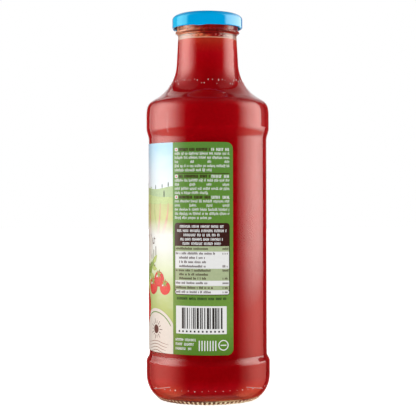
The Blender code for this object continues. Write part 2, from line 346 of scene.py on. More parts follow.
def knurl_material():
    """Thick worn glass with painted light: olive grey above, a painted glow of floor light seen through the
    thick base, with bright and dark teeth below, painted light and shade of the knurls.
    """
    material, shader = new_material("knurled_glass_painted_light")
    place = position(shader)
    turn = maths("ARCTAN2", part_of(place, "X"), part_of(place, "Y"))
    wave = maths("SINE", maths("MULTIPLY", turn, KNURL_COUNT))
    speckle = noise_at(place, 0.8 * MM)
    facets = maths("ADD", maths("MULTIPLY", wave, 0.20), speckle)
    # Painted light and shade: bright and dark teeth for floor light caught and lost in the knurls, and above
    # them an olive grey glow for floor light seen through the thick base.
    painted_teeth_light_tones = ((0.40, (0.035, 0.02, 0.012)), (0.50, (0.15, 0.10, 0.05)), (0.60, (0.34, 0.27, 0.14)),
                   (0.72, (0.80, 0.74, 0.52)))
    patches = maths("ADD", noise_at(place, 13 * MM, 1.0), maths("MULTIPLY", speckle, 0.25))
    painted_base_glow_tones = ((0.56, (0.05, 0.02, 0.018)), (0.64, (0.16, 0.105, 0.06)), (0.72, (0.30, 0.25, 0.13)))
    up = mapped(part_of(place, "Z"), 0.0, KNURL_TOP)
    above_teeth = ramp(up, (0.58, 0.0), (0.76, 1.0))
    tone = mixed(above_teeth, ramp(facets, *painted_teeth_light_tones), ramp(patches, *painted_base_glow_tones))
    set_inputs(shader, Base_Color=tone, Alpha=ramp(up, (0.0, 1.0), (0.90, 0.95), (1.0, 0.0)), Roughness=0.2)
    return material


def painted_glint_material(name, cover, glow):
    """Tiny moulded marks: pale, half clear glass. Its pale tone is a painted glint, and its glow is painted
    light, as the marks glow though they are no lamp.
    """
    material, shader = new_material(name)
    grain = noise_at(position(shader), 0.5 * MM, 2.0)
    tone = ramp(grain, (0.3, (0.90, 0.70, 0.66)), (0.7, (1.0, 0.92, 0.90)))
    set_inputs(shader, Base_Color=tone, Roughness=0.3, Alpha=cover)
    # Painted light: a faint glow that stands for glints on the marks.
    set_inputs(shader, Emission_Color=(1.0, 0.72, 0.66), Emission_Strength=glow)
    return material


def passata_material():
    """Smooth passata: deep red, with fine pulp. Its tones by height hold painted light, paler and more
    orange near its top and base where light gets in, and painted shade that darkens it at the shoulder. It
    is also darker at the lower band.
    """
    material, shader = new_material("tomato_passata")
    place = position(shader)
    body = ramp(mapped(part_of(place, "Z"), 0.0, FILL_HEIGHT), *PASSATA_TONES_WITH_PAINTED_LIGHT)
    pulp = ramp(noise_at(place, 1.6 * MM, 4.0), (0.3, 0.86), (0.72, (1.08, 1.12, 1.1)))
    clouds = ramp(noise_at(place, 17 * MM, 2.0), (0.3, (0.93, 0.9, 0.9)), (0.7, (1.06, 1.1, 1.1)))
    set_inputs(shader, Base_Color=times(body, pulp, clouds), Roughness=0.38)
    set_inputs(shader, Specular_IOR_Level=0.72, Specular_Tint=(1.0, 0.0, 0.0))
    return material


def film_material():
    """The uneven smear of passata and foam that clings inside the neck above the filling: paler and more
    orange towards -X, deep red towards +X and paler at both sides below the bead, with a froth line at the
    filling's edge. Two dark bands at the bead's lower and upper edges are painted shade.
    """
    material, shader = new_material("passata_film")
    place = position(shader)
    height = part_of(place, "Z")
    across = mapped(part_of(place, "X"), -BORE_RADIUS, BORE_RADIUS)
    sweep = maths("MULTIPLY", noise_at(place, 6.0 * MM, 4.0, (1.0, 1.0, 2.6)), 0.9)
    tone = ramp(maths("SUBTRACT", maths("ADD", across, sweep), 0.45), *FILM_TONES)
    streaks = noise_at(place, 1.3 * MM, 5.0, (1.0, 1.0, 1.5))
    blotches = ramp(streaks, (0.40, 0.62), (0.50, 1.0), (0.62, (1.5, 1.4, 1.3)))
    aside = maths("ABSOLUTE", maths("SUBTRACT", across, 0.5))
    edges = ramp(maths("ADD", aside, maths("MULTIPLY", streaks, 0.5)), (0.46, 0.0), (0.58, 1.0))
    low = ramp(mapped(height, FILL_HEIGHT, BEAD_HEIGHT), (0.70, 1.0), (1.0, 0.0))
    specks = ramp(noise_at(place, 0.6 * MM), (0.42, 0.35), (0.52, 1.0))
    pale = times(edges, low, specks)
    # Painted shade: two dark bands on the film, at the bead's lower and upper edges.
    lower_painted_shade = (0.34, 0.30, 0.30)
    upper_painted_shade = (0.34, 0.26, 0.26)
    lines = ramp(
        mapped(height, *FILM_PAINTED_SHADE_SPAN),
        (0.29, 1.0), (0.34, lower_painted_shade), (0.40, lower_painted_shade), (0.45, 1.0),
        (0.66, 1.0), (0.70, upper_painted_shade), (0.77, upper_painted_shade), (0.82, 1.0),
    )
    tone = times(mixed(pale, times(tone, blotches), (0.56, 0.40, 0.35)), lines)
    foam_span = (FILL_HEIGHT - 0.5 * MM, FILL_HEIGHT + 1.5 * MM)
    foam = ramp(mapped(height, *foam_span), (0.0, 1.0), (0.34, 1.0), (0.56, 0.0))
    froth = mixed(edges, (0.86, 0.50, 0.32), (0.56, 0.38, 0.31))
    cover = mixed(foam, mixed(pale, 0.96, 0.97), 1.0)
    set_inputs(shader, Base_Color=mixed(foam, tone, froth), Alpha=cover)
    set_inputs(shader, Roughness=0.4, Specular_IOR_Level=0.12)
    return material


def enamel_material():
    """Glossy light blue enamel on pressed steel, with a faint orange-peel texture."""
    material, shader = new_material("blue_enamel")
    place = position(shader)
    tone = ramp(noise_at(place, 6 * MM), (0.3, (0.0, 0.29, 0.60)), (0.7, (0.0, 0.31, 0.63)))
    rough = mapped(noise_at(place, 1.2 * MM), 0.3, 0.7, 0.03, 0.06)
    set_inputs(shader, Base_Color=tone, Roughness=rough)
    set_inputs(shader, Specular_IOR_Level=0.75, Specular_Tint=(0.7, 1.0, 1.0))
    add_bump(shader, noise_at(place, 0.7 * MM, 2.0), 0.003 * MM)
    return material


def finish_paper(shader, place, tone, roughness=0.4):
    """The ink's tone, with the satin varnish and the grain that all of the label shares."""
    rough = mapped(noise_at(place, 0.9 * MM, 4.0), 0.3, 0.7, roughness - 0.05, roughness + 0.06)
    set_inputs(shader, Base_Color=times(tone, INK_LEVEL), Roughness=rough)
    set_inputs(shader, Specular_IOR_Level=0.0, Coat_Weight=1.0, Coat_Roughness=0.24)
    add_bump(shader, noise_at(place, 0.35 * MM, 4.0), 0.004 * MM)


def printed_material(name, colour, spread):
    """Ink on varnished label paper: a colour that varies a little, with a fine paper grain."""
    material, shader = new_material(name)
    place = flat_position(shader)
    light = tuple(min(1.0, c * (1 + spread)) for c in colour)
    dark = tuple(c * (1 - spread) for c in colour)
    tone = ramp(noise_at(place, 1.4 * MM, 5.0), (0.35, dark), (0.65, light))
    finish_paper(shader, place, tone, 0.42)
    return material


def up_label(place, foot, head, *stops):
    """A colour for each height on the flat label between a foot and a head in millimetres."""
    return ramp(mapped(part_of(place, "Y"), foot * MM, head * MM), *stops)


def panel_green_material():
    """The panel's leaf green, a little lighter towards its foot."""
    material, shader = new_material("panel_green")
    place = flat_position(shader)
    tone = up_label(
        place, LABEL_FOOT, LABEL_HEAD,
        (0.0, (0.075, 0.19, 0.012)), (0.16, (0.14, 0.27, 0.04)), (0.5, (0.105, 0.235, 0.025)),
        (1.0, (0.085, 0.215, 0.028)),
    )
    grain = ramp(noise_at(place, 1.4 * MM, 5.0), (0.35, 0.95), (0.65, 1.05))
    finish_paper(shader, place, times(tone, grain))
    return material


def artwork_ground_material():
    """Sky above, fields in the middle and a soft green glow below."""
    material, shader = new_material("artwork_ground")
    place = flat_position(shader)
    tone = up_label(place, LABEL_FOOT, LABEL_HEAD, *ARTWORK_TONES)
    clouds = ramp(noise_at(place, 26 * MM, 4.0, (1.0, 2.2, 1.0)), (0.46, 0.0), (0.66, 0.16))
    finish_paper(shader, place, mixed(clouds, tone, (0.86, 0.88, 0.87)))
    return material


def fading_material(name, colour):
    """Ink of the field and its furrows, which fades into the pale glow below."""
    material, shader = new_material(name)
    place = flat_position(shader)
    darker = tuple(c * 0.92 for c in colour)
    tone = up_label(place, FIELD_FOOT, FIELD_TOP, (0.06, FADE_TONE), (0.55, colour), (1.0, darker))
    grain = ramp(noise_at(place, 5.0 * MM), (0.3, 0.93), (0.7, 1.07))
    finish_paper(shader, place, times(tone, grain))
    return material


def tomato_material():
    """Printed tomatoes: red with a soft lighter side."""
    material, shader = new_material("tomato_ink")
    place = flat_position(shader)
    reds = ((0.3, (0.42, 0.005, 0.006)), (0.5, (0.58, 0.010, 0.010)), (0.7, (0.68, 0.04, 0.03)))
    finish_paper(shader, place, ramp(noise_at(place, 11 * MM, 2.0), *reds))
    return material


# Outlines are lists of points (radius, height)


def shares(*stretches):
    """Shares from 0 to 1 in stretches of (end, steps), so that a curve can be finer where it has marks."""
    places = [0.0]
    for end, steps in stretches:
        start = places[-1]
        places += [start + (end - start) * (step + 1) / steps for step in range(steps)]
    return places


def arc(centre, radii, start, end, steps):
    """Points on an ellipse's arc, with its start and end in degrees from +radius towards +height."""
    points = []
    for share in shares((1.0, steps)) if isinstance(steps, int) else steps:
        angle = math.radians(start + (end - start) * share)
        across, up = radii[0] * math.cos(angle), radii[1] * math.sin(angle)
        points.append(Vector((centre[0] + across, centre[1] + up)))
    return points


def bezier(start, start_handle, end_handle, end, steps):
    points = []
    for t in shares((1.0, steps)):
        s = 1 - t
        points.append(start * s**3 + start_handle * 3 * s * s * t + end_handle * 3 * s * t * t + end * t**3)
    return points


def eased(start, end, steps, level_ends=False):
    """A smooth S between two points, upright at both ends, or level at both ends."""
    points = []
    for along in shares((1.0, steps)):
        share = (1 - math.cos(math.pi * along)) / 2
        across, up = (along, share) if level_ends else (share, along)
        points.append(Vector((start[0] + (end[0] - start[0]) * across, start[1] + (end[1] - start[1]) * up)))
    return points


def joined(*runs):
    """The runs one after another, without points that repeat."""
    outline = []
    for run in runs:
        for point in run:
            point = Vector(point)
            if not outline or (point - outline[-1]).length > POINT_MERGE:
                outline.append(point)
    return outline


def moved_inwards(outline, distance):
    """The outline moved towards the axis, square to itself. It runs upwards."""
    moved = []
    for i, point in enumerate(outline):
        along = (outline[min(i + 1, len(outline) - 1)] - outline[max(i - 1, 0)]).normalized()
        moved.append(point + Vector((-along.y, along.x)) * distance)
    return moved


def side_outline(steps, hollow_steps):
    """The outside of the glass from the top of the lower band to the bottom of the neck."""
    up_slope = Vector((-math.cos(SHOULDER_SLOPE), math.sin(SHOULDER_SLOPE)))
    shoulder_start = Vector((UPPER_BAND_RADIUS, SHOULDER_BOTTOM))
    neck_root = Vector((NECK_ROOT_RADIUS, NECK_BOTTOM))
    neck_slope = (Vector((NECK_TOP_RADIUS, NECK_TOP)) - neck_root).normalized()
    return joined(
        eased((LOWER_BAND_RADIUS, LOWER_BAND_TOP), (PANEL_RADIUS, PANEL_BOTTOM), steps),
        eased((PANEL_RADIUS, PANEL_TOP), (UPPER_BAND_RADIUS, UPPER_BAND_BOTTOM), steps),
        bezier(
            shoulder_start,
            shoulder_start + Vector((0, SHOULDER_LOWER_REACH)),
            SHOULDER_TURN - up_slope * SHOULDER_TURN_REACH,
            SHOULDER_TURN,
            steps * 2,
        ),
        bezier(
            SHOULDER_TURN,
            SHOULDER_TURN + up_slope * HOLLOW_TURN_REACH,
            neck_root - neck_slope * HOLLOW_NECK_REACH,
            neck_root,
            hollow_steps,
        ),
    )


def inside_outline(steps):
    """The inside of the glass, from the axis at the base up to the top of the neck."""
    inner_radius = LOWER_BAND_RADIUS - WALL
    heel_start = inner_radius - INNER_HEEL_REACH
    base_centre = (0, PUSH_UP_HEIGHT + BASE_CENTRE_THICKNESS)
    return joined(
        eased(base_centre, (heel_start, HEEL_THICKNESS), steps, level_ends=True),
        arc((heel_start, HEEL_TOP), (INNER_HEEL_REACH, HEEL_TOP - HEEL_THICKNESS), -90, 0, steps * 2),
        moved_inwards(side_outline(steps, steps * 2), WALL),
        [(BORE_RADIUS, NECK_TOP)],
    )


def heel_arc(steps):
    """The outside of the heel, from the standing ring up to the lower band."""
    heel_reach = LOWER_BAND_RADIUS - STANDING_RING_OUTER_RADIUS
    return arc((STANDING_RING_OUTER_RADIUS, HEEL_TOP), (heel_reach, HEEL_TOP), -90, 0, steps)


def outside_outline():
    """The outside of the glass, from the axis at the base over the lip into the bore."""
    heel_steps = shares((0.36, 12), (0.62, 10), (0.84, 40), (0.96, 4), (1.0, 8))
    return joined(
        eased((0, PUSH_UP_HEIGHT), (STANDING_RING_INNER_RADIUS, 0), 14, level_ends=True),
        heel_arc(heel_steps),
        side_outline(12, 40),
        [(NECK_ROOT_RADIUS, NECK_BOTTOM)],
        eased((NECK_TOP_RADIUS, NECK_TOP), (BEAD_RADIUS, BEAD_HEIGHT), 12),
        arc((BEAD_RADIUS - BEAD_HALF_HEIGHT, BEAD_HEIGHT), (BEAD_HALF_HEIGHT, BEAD_HALF_HEIGHT), 0, 90, 8),
        [(FINISH_RADIUS, THREAD_LOW_END_HEIGHT + share * (MOUTH_HEIGHT - LIP_RADIUS - THREAD_LOW_END_HEIGHT))
         for share in shares((1.0, 18))],
        arc((FINISH_RADIUS - LIP_RADIUS, MOUTH_HEIGHT - LIP_RADIUS), (LIP_RADIUS, LIP_RADIUS), 0, 90, 6),
        arc((BORE_RADIUS + LIP_RADIUS, MOUTH_HEIGHT - LIP_RADIUS), (LIP_RADIUS, LIP_RADIUS), 90, 180, 6),
    )


# Marks that stand out of the glass


def bump(distance, reach):
    """1 at no distance, easing to 0 at the reach."""
    if abs(distance) >= reach:
        return 0.0
    return (1 + math.cos(math.pi * distance / reach)) / 2


def from_nearest(angle, count):
    """The angle to the nearest of that many marks round the bottle, and the mark's number."""
    pitch = math.tau / count
    number = round(angle / pitch)
    return angle - number * pitch, number % count


def unevenness(number, salt):
    """A steady value from 0 to 1 for each numbered mark."""
    return random.Random(number * 31 + salt).random()


def thread_relief(angle, height):
    turned = (angle - THREAD_LOW_END_ANGLE) % (math.tau / THREAD_COUNT)
    share = turned / THREAD_SPAN
    if share > 1:
        return 0.0
    middle = THREAD_LOW_END_HEIGHT + THREAD_RISE * share
    fullness = min(1.0, 5 * min(share, 1 - share))
    return THREAD_DEPTH * fullness * min(1.0, 1.5 * bump(height - middle, THREAD_HALF_WIDTH))


def glass_relief(angle, radius, height):
    """How far the finish of the glass stands out at each place, for its thread."""
    if height > THREAD_LOW_END_HEIGHT - THREAD_HALF_WIDTH and radius > FINISH_RADIUS - POINT_MERGE:
        return thread_relief(angle, height)
    return 0.0


# Meshes


def round_place(angle, radius, height):
    """The place at that angle, radius and height."""
    return Vector((radius * math.sin(angle), -radius * math.cos(angle), height))


def add_object(name, bm, *materials):
    """Turns the bmesh into an object with that name, facing out and shaded smooth."""
    bmesh.ops.recalc_face_normals(bm, faces=bm.faces)
    mesh = bpy.data.meshes.new(name)
    bm.to_mesh(mesh)
    bm.free()
    mesh.shade_smooth()
    mesh.set_sharp_from_angle(angle=SMOOTH_LIMIT)
    for material in materials:
        mesh.materials.append(material)
    item = bpy.data.objects.new(name, mesh)
    bpy.context.scene.collection.objects.link(item)
    return item


def add_ring(bm, point, outward, segments, relief):
    """A ring of corners at that radius and height, or one corner on the axis."""
    radius, height = point
    if radius < POINT_MERGE:
        return [bm.verts.new((0, 0, height))]
    ring = []
    for number in range(segments):
        angle = math.tau * number / segments
        rise = relief(angle, radius, height) if relief else 0.0
        ring.append(bm.verts.new(round_place(angle, radius + outward.x * rise, height + outward.y * rise)))
    return ring


def bridge(bm, ring, following):
    """Faces between two rings of as many corners, or between a ring and a single corner."""
    if len(ring) > len(following):
        ring, following = following, ring
    for i in range(len(following)):
        after = (i + 1) % len(following)
        if len(ring) == 1:
            bm.faces.new((ring[0], following[i], following[after]))
        else:
            bm.faces.new((ring[after], ring[i], following[i], following[after]))


def turned(outline, relief=None, closed_loop=False):
    """A bmesh of the outline turned about the axis."""
    bm = bmesh.new()
    rings = []
    last = len(outline) - 1
    for i, point in enumerate(outline):
        along = (outline[min(i + 1, last)] - outline[max(i - 1, 0)]).normalized()
        outward = Vector((along.y, -along.x))
        rings.append(add_ring(bm, point, outward, COARSE_SEGMENTS, relief))
    for ring, following in zip(rings, rings[1:]):
        bridge(bm, ring, following)
    if closed_loop:
        bridge(bm, rings[-1], rings[0])
    return bm


# Glass, passata and cap


def make_glass(material):
    outline = joined(outside_outline(), reversed(inside_outline(10)))
    glass = add_object("glass", turned(outline, glass_relief), material)
    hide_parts("glass_bottle")
    return glass


def knurl_relief(angle, radius, height):
    """How far the worn knurls round the foot of the heel stand out."""
    away, number = from_nearest(angle, KNURL_COUNT)
    worn = 0.45 + 0.55 * unevenness(number, 4)
    up = bump(height - KNURL_DEPTH * 0.4, KNURL_DEPTH * 0.8)
    return KNURL_RISE * up * worn * (0.5 + 0.5 * math.cos(away * KNURL_COUNT))


def make_knurls(material):
    """The band of worn knurls and thick greenish glass round the foot of the heel. Its colour is partly
    painted light and shade.
    """
    heel = heel_arc(90)
    outer = [point for point in heel if KNURL_FOOT < point.y < KNURL_TOP]
    bm = bmesh.new()
    rings = [add_ring(bm, point, KNURL_WAY, FINE_SEGMENTS, knurl_relief) for point in outer]
    for point in reversed(outer):
        rings.append(add_ring(bm, point + KNURL_BACK, KNURL_WAY, FINE_SEGMENTS, None))
    for ring, following in zip(rings, rings[1:] + rings[:1]):
        bridge(bm, ring, following)
    for corner in bm.verts:
        corner.co.z = max(corner.co.z, FLOOR_GAP)
    knurls = add_object("heel_knurls", bm, material)
    return knurls


def side_radius(height):
    """The radius of the glass at that height, between the heel and the top of the neck."""
    outline = outside_outline()
    for low, high in zip(outline, outline[1:]):
        if low.y <= height <= high.y and low.x > BORE_RADIUS + LIP_RADIUS:
            return low.lerp(high, (height - low.y) / (high.y - low.y)).x
    return LOWER_BAND_RADIUS


def make_beads(name, beads, material):
    """Tiny upright beads on the glass, from a list of (angle, height, radius, stretch)."""
    bm = bmesh.new()
    for angle, height, size, stretch in beads:
        made = bmesh.ops.create_icosphere(bm, subdivisions=2, radius=size)
        bmesh.ops.scale(bm, verts=made["verts"], vec=Vector((1, 1, stretch)))
        place = round_place(angle, side_radius(height) - 0.1 * size, height)
        bmesh.ops.translate(bm, verts=made["verts"], vec=place)
    item = add_object(name, bm, material)
    return item


def make_code_dots(material):
    """A short upright row of tiny moulded dots on the upper band."""
    beads = []
    for number in range(CODE_DOTS):
        height = CODE_DOT_LOW + (CODE_DOT_HIGH - CODE_DOT_LOW) * number / (CODE_DOTS - 1)
        angle = CODE_DOT_ANGLE + 0.012 * (unevenness(number, 5) - 0.5)
        beads.append((angle, height, CODE_DOT_RADIUS * (0.6 + 0.5 * unevenness(number, 6)), 1.0))
    return make_beads("code_dots", beads, material)


def make_heel_dots(material):
    """The uneven row of moulded dots round the heel."""
    beads = []
    for number in range(HEEL_DOT_COUNT):
        angle = math.tau * (number + 0.25 * unevenness(number, 1)) / HEEL_DOT_COUNT
        height = HEEL_DOT_HEIGHT + 0.5 * MM * (unevenness(number, 2) - 0.5)
        beads.append((angle, height, HEEL_DOT_RADIUS * (0.3 + 0.8 * unevenness(number, 3) ** 2), 1.2))
    return make_beads("heel_dots", beads, material)


def make_heel_seams(material):
    """Four short moulded seams along the heel, which fall away from the front and the back."""
    bm = bmesh.new()
    for side, behind in ((-1, 0), (1, 0), (-1, math.pi), (1, math.pi)):
        rows = []
        for step in range(HEEL_SEAM_STEPS + 1):
            ends = zip(HEEL_SEAM_START, HEEL_SEAM_END)
            turn, height = (start + (end - start) * step / HEEL_SEAM_STEPS for start, end in ends)
            angle = behind + side * turn
            row = []
            for offset, rise in ((-0.5, -0.5), (0.0, 1.0), (0.5, -0.5)):
                z = height + offset * HEEL_SEAM_WIDTH
                row.append(bm.verts.new(round_place(angle, side_radius(z) + rise * HEEL_SEAM_RISE, z)))
            rows.append(row)
        for first, second in zip(rows, rows[1:]):
            for i in (0, 1):
                bm.faces.new((first[i], second[i], second[i + 1], first[i + 1]))
    seams = add_object("heel_seams", bm, material)
    return seams


def make_neck_marks(material):
    """Two loose rows of small moulded marks where the neck meets the shoulder."""
    beads = []
    for number in range(NECK_MARK_COUNT):
        angle = math.tau * (number + 0.6 * unevenness(number, 7)) / NECK_MARK_COUNT
        row = 0.25 if unevenness(number, 8) < 0.7 else -0.5
        height = NECK_MARK_HEIGHT + NECK_MARK_SPREAD * (row + 0.25 * unevenness(number, 9))
        beads.append((angle, height, NECK_MARK_RADIUS * (0.4 + 0.6 * unevenness(number, 10)), 1.9))
    return make_beads("neck_marks", beads, material)


def make_passata(material):
    """The filling, which reaches just into the glass, up to its level in the neck."""
    bore = moved_inwards(inside_outline(12), -FILLING_REACH)
    bore[0].x = 0.0
    neck_bottom, neck_top = bore[-2], bore[-1]
    share = (FILL_HEIGHT - neck_bottom.y) / (neck_top.y - neck_bottom.y)
    edge = neck_bottom.lerp(neck_top, share)
    middle = FILL_HEIGHT - MENISCUS_HEIGHT
    meniscus = eased((edge.x, FILL_HEIGHT), (edge.x - MENISCUS_REACH, middle), 6, level_ends=True)
    outline = joined(bore[:-1], meniscus, [(0, middle)])
    passata = add_object("passata_filling", turned(outline), material)
    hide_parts("passata")
    return passata


def make_film(material):
    """The smear inside the neck, from the filling's edge up to the mouth."""
    low = FILL_HEIGHT - 0.4 * MM
    high = MOUTH_HEIGHT - LIP_RADIUS
    slope = (NECK_ROOT_RADIUS - WALL - BORE_RADIUS) / (NECK_TOP - NECK_BOTTOM)
    outer = []
    for share in shares((1.0, 14)):
        height = low + (high - low) * share
        radius = BORE_RADIUS + max(0.0, NECK_TOP - height) * slope + FILM_THICKNESS / 3
        outer.append(Vector((radius, height)))
    inner = [Vector((point.x - FILM_THICKNESS, point.y)) for point in reversed(outer)]
    film = add_object("passata_film", turned(outer + inner, closed_loop=True), material)
    return film


def lug_strength(angle):
    """From 0 between the lugs to 1 in the middle of each."""
    pitch = math.tau / LUG_COUNT
    away = abs((angle - LUG_ANGLE + pitch / 2) % pitch - pitch / 2)
    return bump(away, LUG_HALF_SPAN)


def press_lugs(bm):
    """Presses the curl under the skirt down and in at each lug."""
    for corner in bm.verts:
        below = CAP_BOTTOM + CURL_HEIGHT - corner.co.z
        if below <= POINT_MERGE:
            continue
        radius = math.hypot(corner.co.x, corner.co.y)
        strength = lug_strength(math.atan2(corner.co.x, -corner.co.y))
        depth = min(1.0, below / CURL_HEIGHT)
        inwards = LUG_PUSH if radius < CAP_RADIUS - CAP_SHELL * 2 else 0.0
        pushed = (radius - inwards * strength * depth) / radius
        corner.co.x *= pushed
        corner.co.y *= pushed
        corner.co.z -= LUG_DROP * strength * depth


def make_cap(material):
    """The pressed cap: a button in a sunk panel with a stepped edge, a rim, a skirt and a rolled curl."""
    corner_centre = (CAP_RADIUS - CAP_CORNER_REACH, CAP_TOP - CAP_CORNER_DROP)
    panel_height = CAP_TOP - PANEL_DROP
    curl_centre = ((CAP_RADIUS + CURL_INNER_RADIUS) / 2, CAP_BOTTOM + CURL_HEIGHT / 2)
    curl_radii = ((CAP_RADIUS - CURL_INNER_RADIUS) / 2, CURL_HEIGHT / 2)
    skirt_foot = (CAP_RADIUS - CAP_SHELL, CAP_BOTTOM + CURL_HEIGHT + CAP_SHELL)
    inner_radii = (CAP_CORNER_REACH - CAP_SHELL, CAP_CORNER_DROP - CAP_SHELL)
    inner_turn = math.degrees(math.asin((CAP_UNDERSIDE - corner_centre[1]) / inner_radii[1]))
    step_height = panel_height - BUTTON_RISE * 0.6
    outline = joined(
        eased((0, panel_height + BUTTON_RISE), (BUTTON_RADIUS, panel_height), 10, level_ends=True),
        eased((BUTTON_RADIUS * 1.1, panel_height), (BUTTON_RADIUS * 1.22, step_height), 4, level_ends=True),
        eased((PANEL_STEP_RADIUS, step_height), (PANEL_EDGE_RADIUS, panel_height), 5, level_ends=True),
        eased((PANEL_EDGE_RADIUS, panel_height), (RIM_INNER_RADIUS, CAP_TOP), 6, level_ends=True),
        reversed(arc(corner_centre, (CAP_CORNER_REACH, CAP_CORNER_DROP), 0, 90, 16)),
        reversed(arc(curl_centre, curl_radii, -180, 0, 18)),
        [(CURL_INNER_RADIUS, CAP_BOTTOM + CURL_HEIGHT), skirt_foot],
        arc(corner_centre, inner_radii, 0, inner_turn, 6),
        [(0, CAP_UNDERSIDE)],
    )
    bm = turned(outline)
    press_lugs(bm)
    cap = add_object("cap_shell", bm, material)
    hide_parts("cap")
    return cap


# Flat label, in millimetres

LABEL_FOOT = 30.3
LABEL_HEAD = 154.8
LABEL_SKEW = 0.006
PAPER_RADIUS = 36.1
PAPER_THICKNESS = 0.12
INK_STEP = 0.02
PAPER_LEVEL = PAPER_THICKNESS / INK_STEP
MM_PER_DEGREE = math.radians(PAPER_RADIUS)
LABEL_END = 24.0 * MM_PER_DEGREE
LABEL_START = LABEL_END - 276.0 * MM_PER_DEGREE
PANEL_START = -34.6 * MM_PER_DEGREE
ARTWORK_START = -199.0 * MM_PER_DEGREE
LABEL_CORNER = 3.8
CUT_WIDTH = 1.6
EDGE_GAP = 0.01

TEXT_LEFT = -32.2 * MM_PER_DEGREE
TEXT_RIGHT = 20.6 * MM_PER_DEGREE
LINE_PITCH = 2.43
HEADING_HEIGHT = 1.7
HEADING_SPLIT = TEXT_LEFT + (TEXT_RIGHT - TEXT_LEFT) * 0.655
TEXT_BLOCKS = ((150.5, 5, 2), (134.8, 4, 1), (122.6, 5, 1))
RULE_HEIGHT = (136.3, 136.7)
TABLE_TOP = 107.6
TABLE_FOOT = 65.4
TABLE_EDGE = 0.45
TABLE_HEAD_INSETS = (2.6, 0.8, 5.0, 3.0, 4.4)
TABLE_BANDS = (
    (94.0, 90.9, "pale_green", 1), (90.9, 80.9, "white", 4), (80.9, 73.9, "pale_green", 3),
    (73.9, 70.9, "white", 1), (70.9, 68.4, "pale_green", 1), (68.4, TABLE_FOOT + TABLE_EDGE, "white", 1),
)
NOTE_HEIGHT = 63.3
BARS_FOOT = 42.7
BARS_TOP = 59.0
BAR_WIDTHS = (0.32, 0.32, 0.64, 0.64, 0.96, 1.28)
BAR_GAPS = (0.32, 0.32, 0.64, 0.9)
BARS_DOT_COUNT = 12
FOOT_LINES_TOP = 39.2
FOOT_LINE_PITCH = 2.6
FOOT_BAR_COUNT = 7
FOOT_BAR_PITCH = 1.6
FOOT_BAR_WIDTH = 0.62
FOOT_BARS_LEFT = -5.5
FOOT_BARS_LOW = 32.9
FOOT_BARS_HIGH = 38.9
FOOT_RING = (9.0, 36.2, 3.1, 2.55)
BACK_TOP = 149.5
BACK_BLOCK_PITCH = 18.5
BACK_SIGNS_HEIGHT = 67.0
BACK_LINES_TOP = 55.0
FIELD_TOP = 118.5
FIELD_FOOT = 99.0
HORIZON = FIELD_TOP + 0.6
FURROW_COUNT = 15
FURROW_MARGIN = 2.4
MEDALLION_RADIUS = 17.6
MEDALLION_HEIGHT = 38.8
MEDALLION_INSET = 15.0

# Sprigs and large tomatoes by their place from the artwork's middle, small tomatoes from its right edge
SPRIGS = ((-22, 70, 17, 2.5), (21, 71, 17, 0.5), (4, 78, 12, 1.5))
TOMATOES = ((-13, 58, 14.5, 7), (14, 57, 13.5, 7), (1, 48, 12.0, 10))
SMALL_TOMATOES = ((-12, 74, 4.6), (-19, 69.5, 5.0), (-6.5, 69, 4.2))


def turned_place(s, z, turn, x, y):
    """A place at (x, y) from (s, z), turned round it."""
    return (s + x * math.cos(turn) - y * math.sin(turn), z + x * math.sin(turn) + y * math.cos(turn))


def ellipse(s, z, across, up, turn=0.0, steps=28):
    angles = [math.tau * step / steps for step in range(steps)]
    return [turned_place(s, z, turn, across * math.cos(angle), up * math.sin(angle)) for angle in angles]


def flat_arc(s, z, radius, start, end, steps):
    return [tuple(point) for point in arc((s, z), (radius, radius), start, end, steps)]


def rectangle(left, bottom, right, top, radius=0.0):
    """A rectangle, with round corners where a radius is given."""
    if not radius:
        return [(left, bottom), (right, bottom), (right, top), (left, top)]
    points = []
    corners = ((right - radius, bottom + radius), (right - radius, top - radius),
               (left + radius, top - radius), (left + radius, bottom + radius))
    for number, (s, z) in enumerate(corners):
        points += flat_arc(s, z, radius, 90 * number - 90, 90 * number, 6)
    return points


def stroke(path, widths):
    """A tapering line along the path, with its width at each point."""
    left, right = [], []
    for i, (point, width) in enumerate(zip(path, widths)):
        before, after = Vector(path[max(i - 1, 0)]), Vector(path[min(i + 1, len(path) - 1)])
        along = (after - before).normalized()
        side = Vector((-along.y, along.x)) * width / 2
        left.append(tuple(Vector(point) + side))
        right.append(tuple(Vector(point) - side))
    return right + left[::-1]


def leaf(s, z, length, width, turn):
    """A pointed leaf from its stalk, in the direction turn."""
    upper, lower = [], []
    for step in range(11):
        t = step / 10
        half = width / 2 * math.sin(math.pi * t**0.8) * (1 - 0.25 * t)
        upper.append(turned_place(s, z, turn, t * length, half))
        lower.append(turned_place(s, z, turn, t * length, -half))
    return upper[:-1] + lower[::-1][:-1]


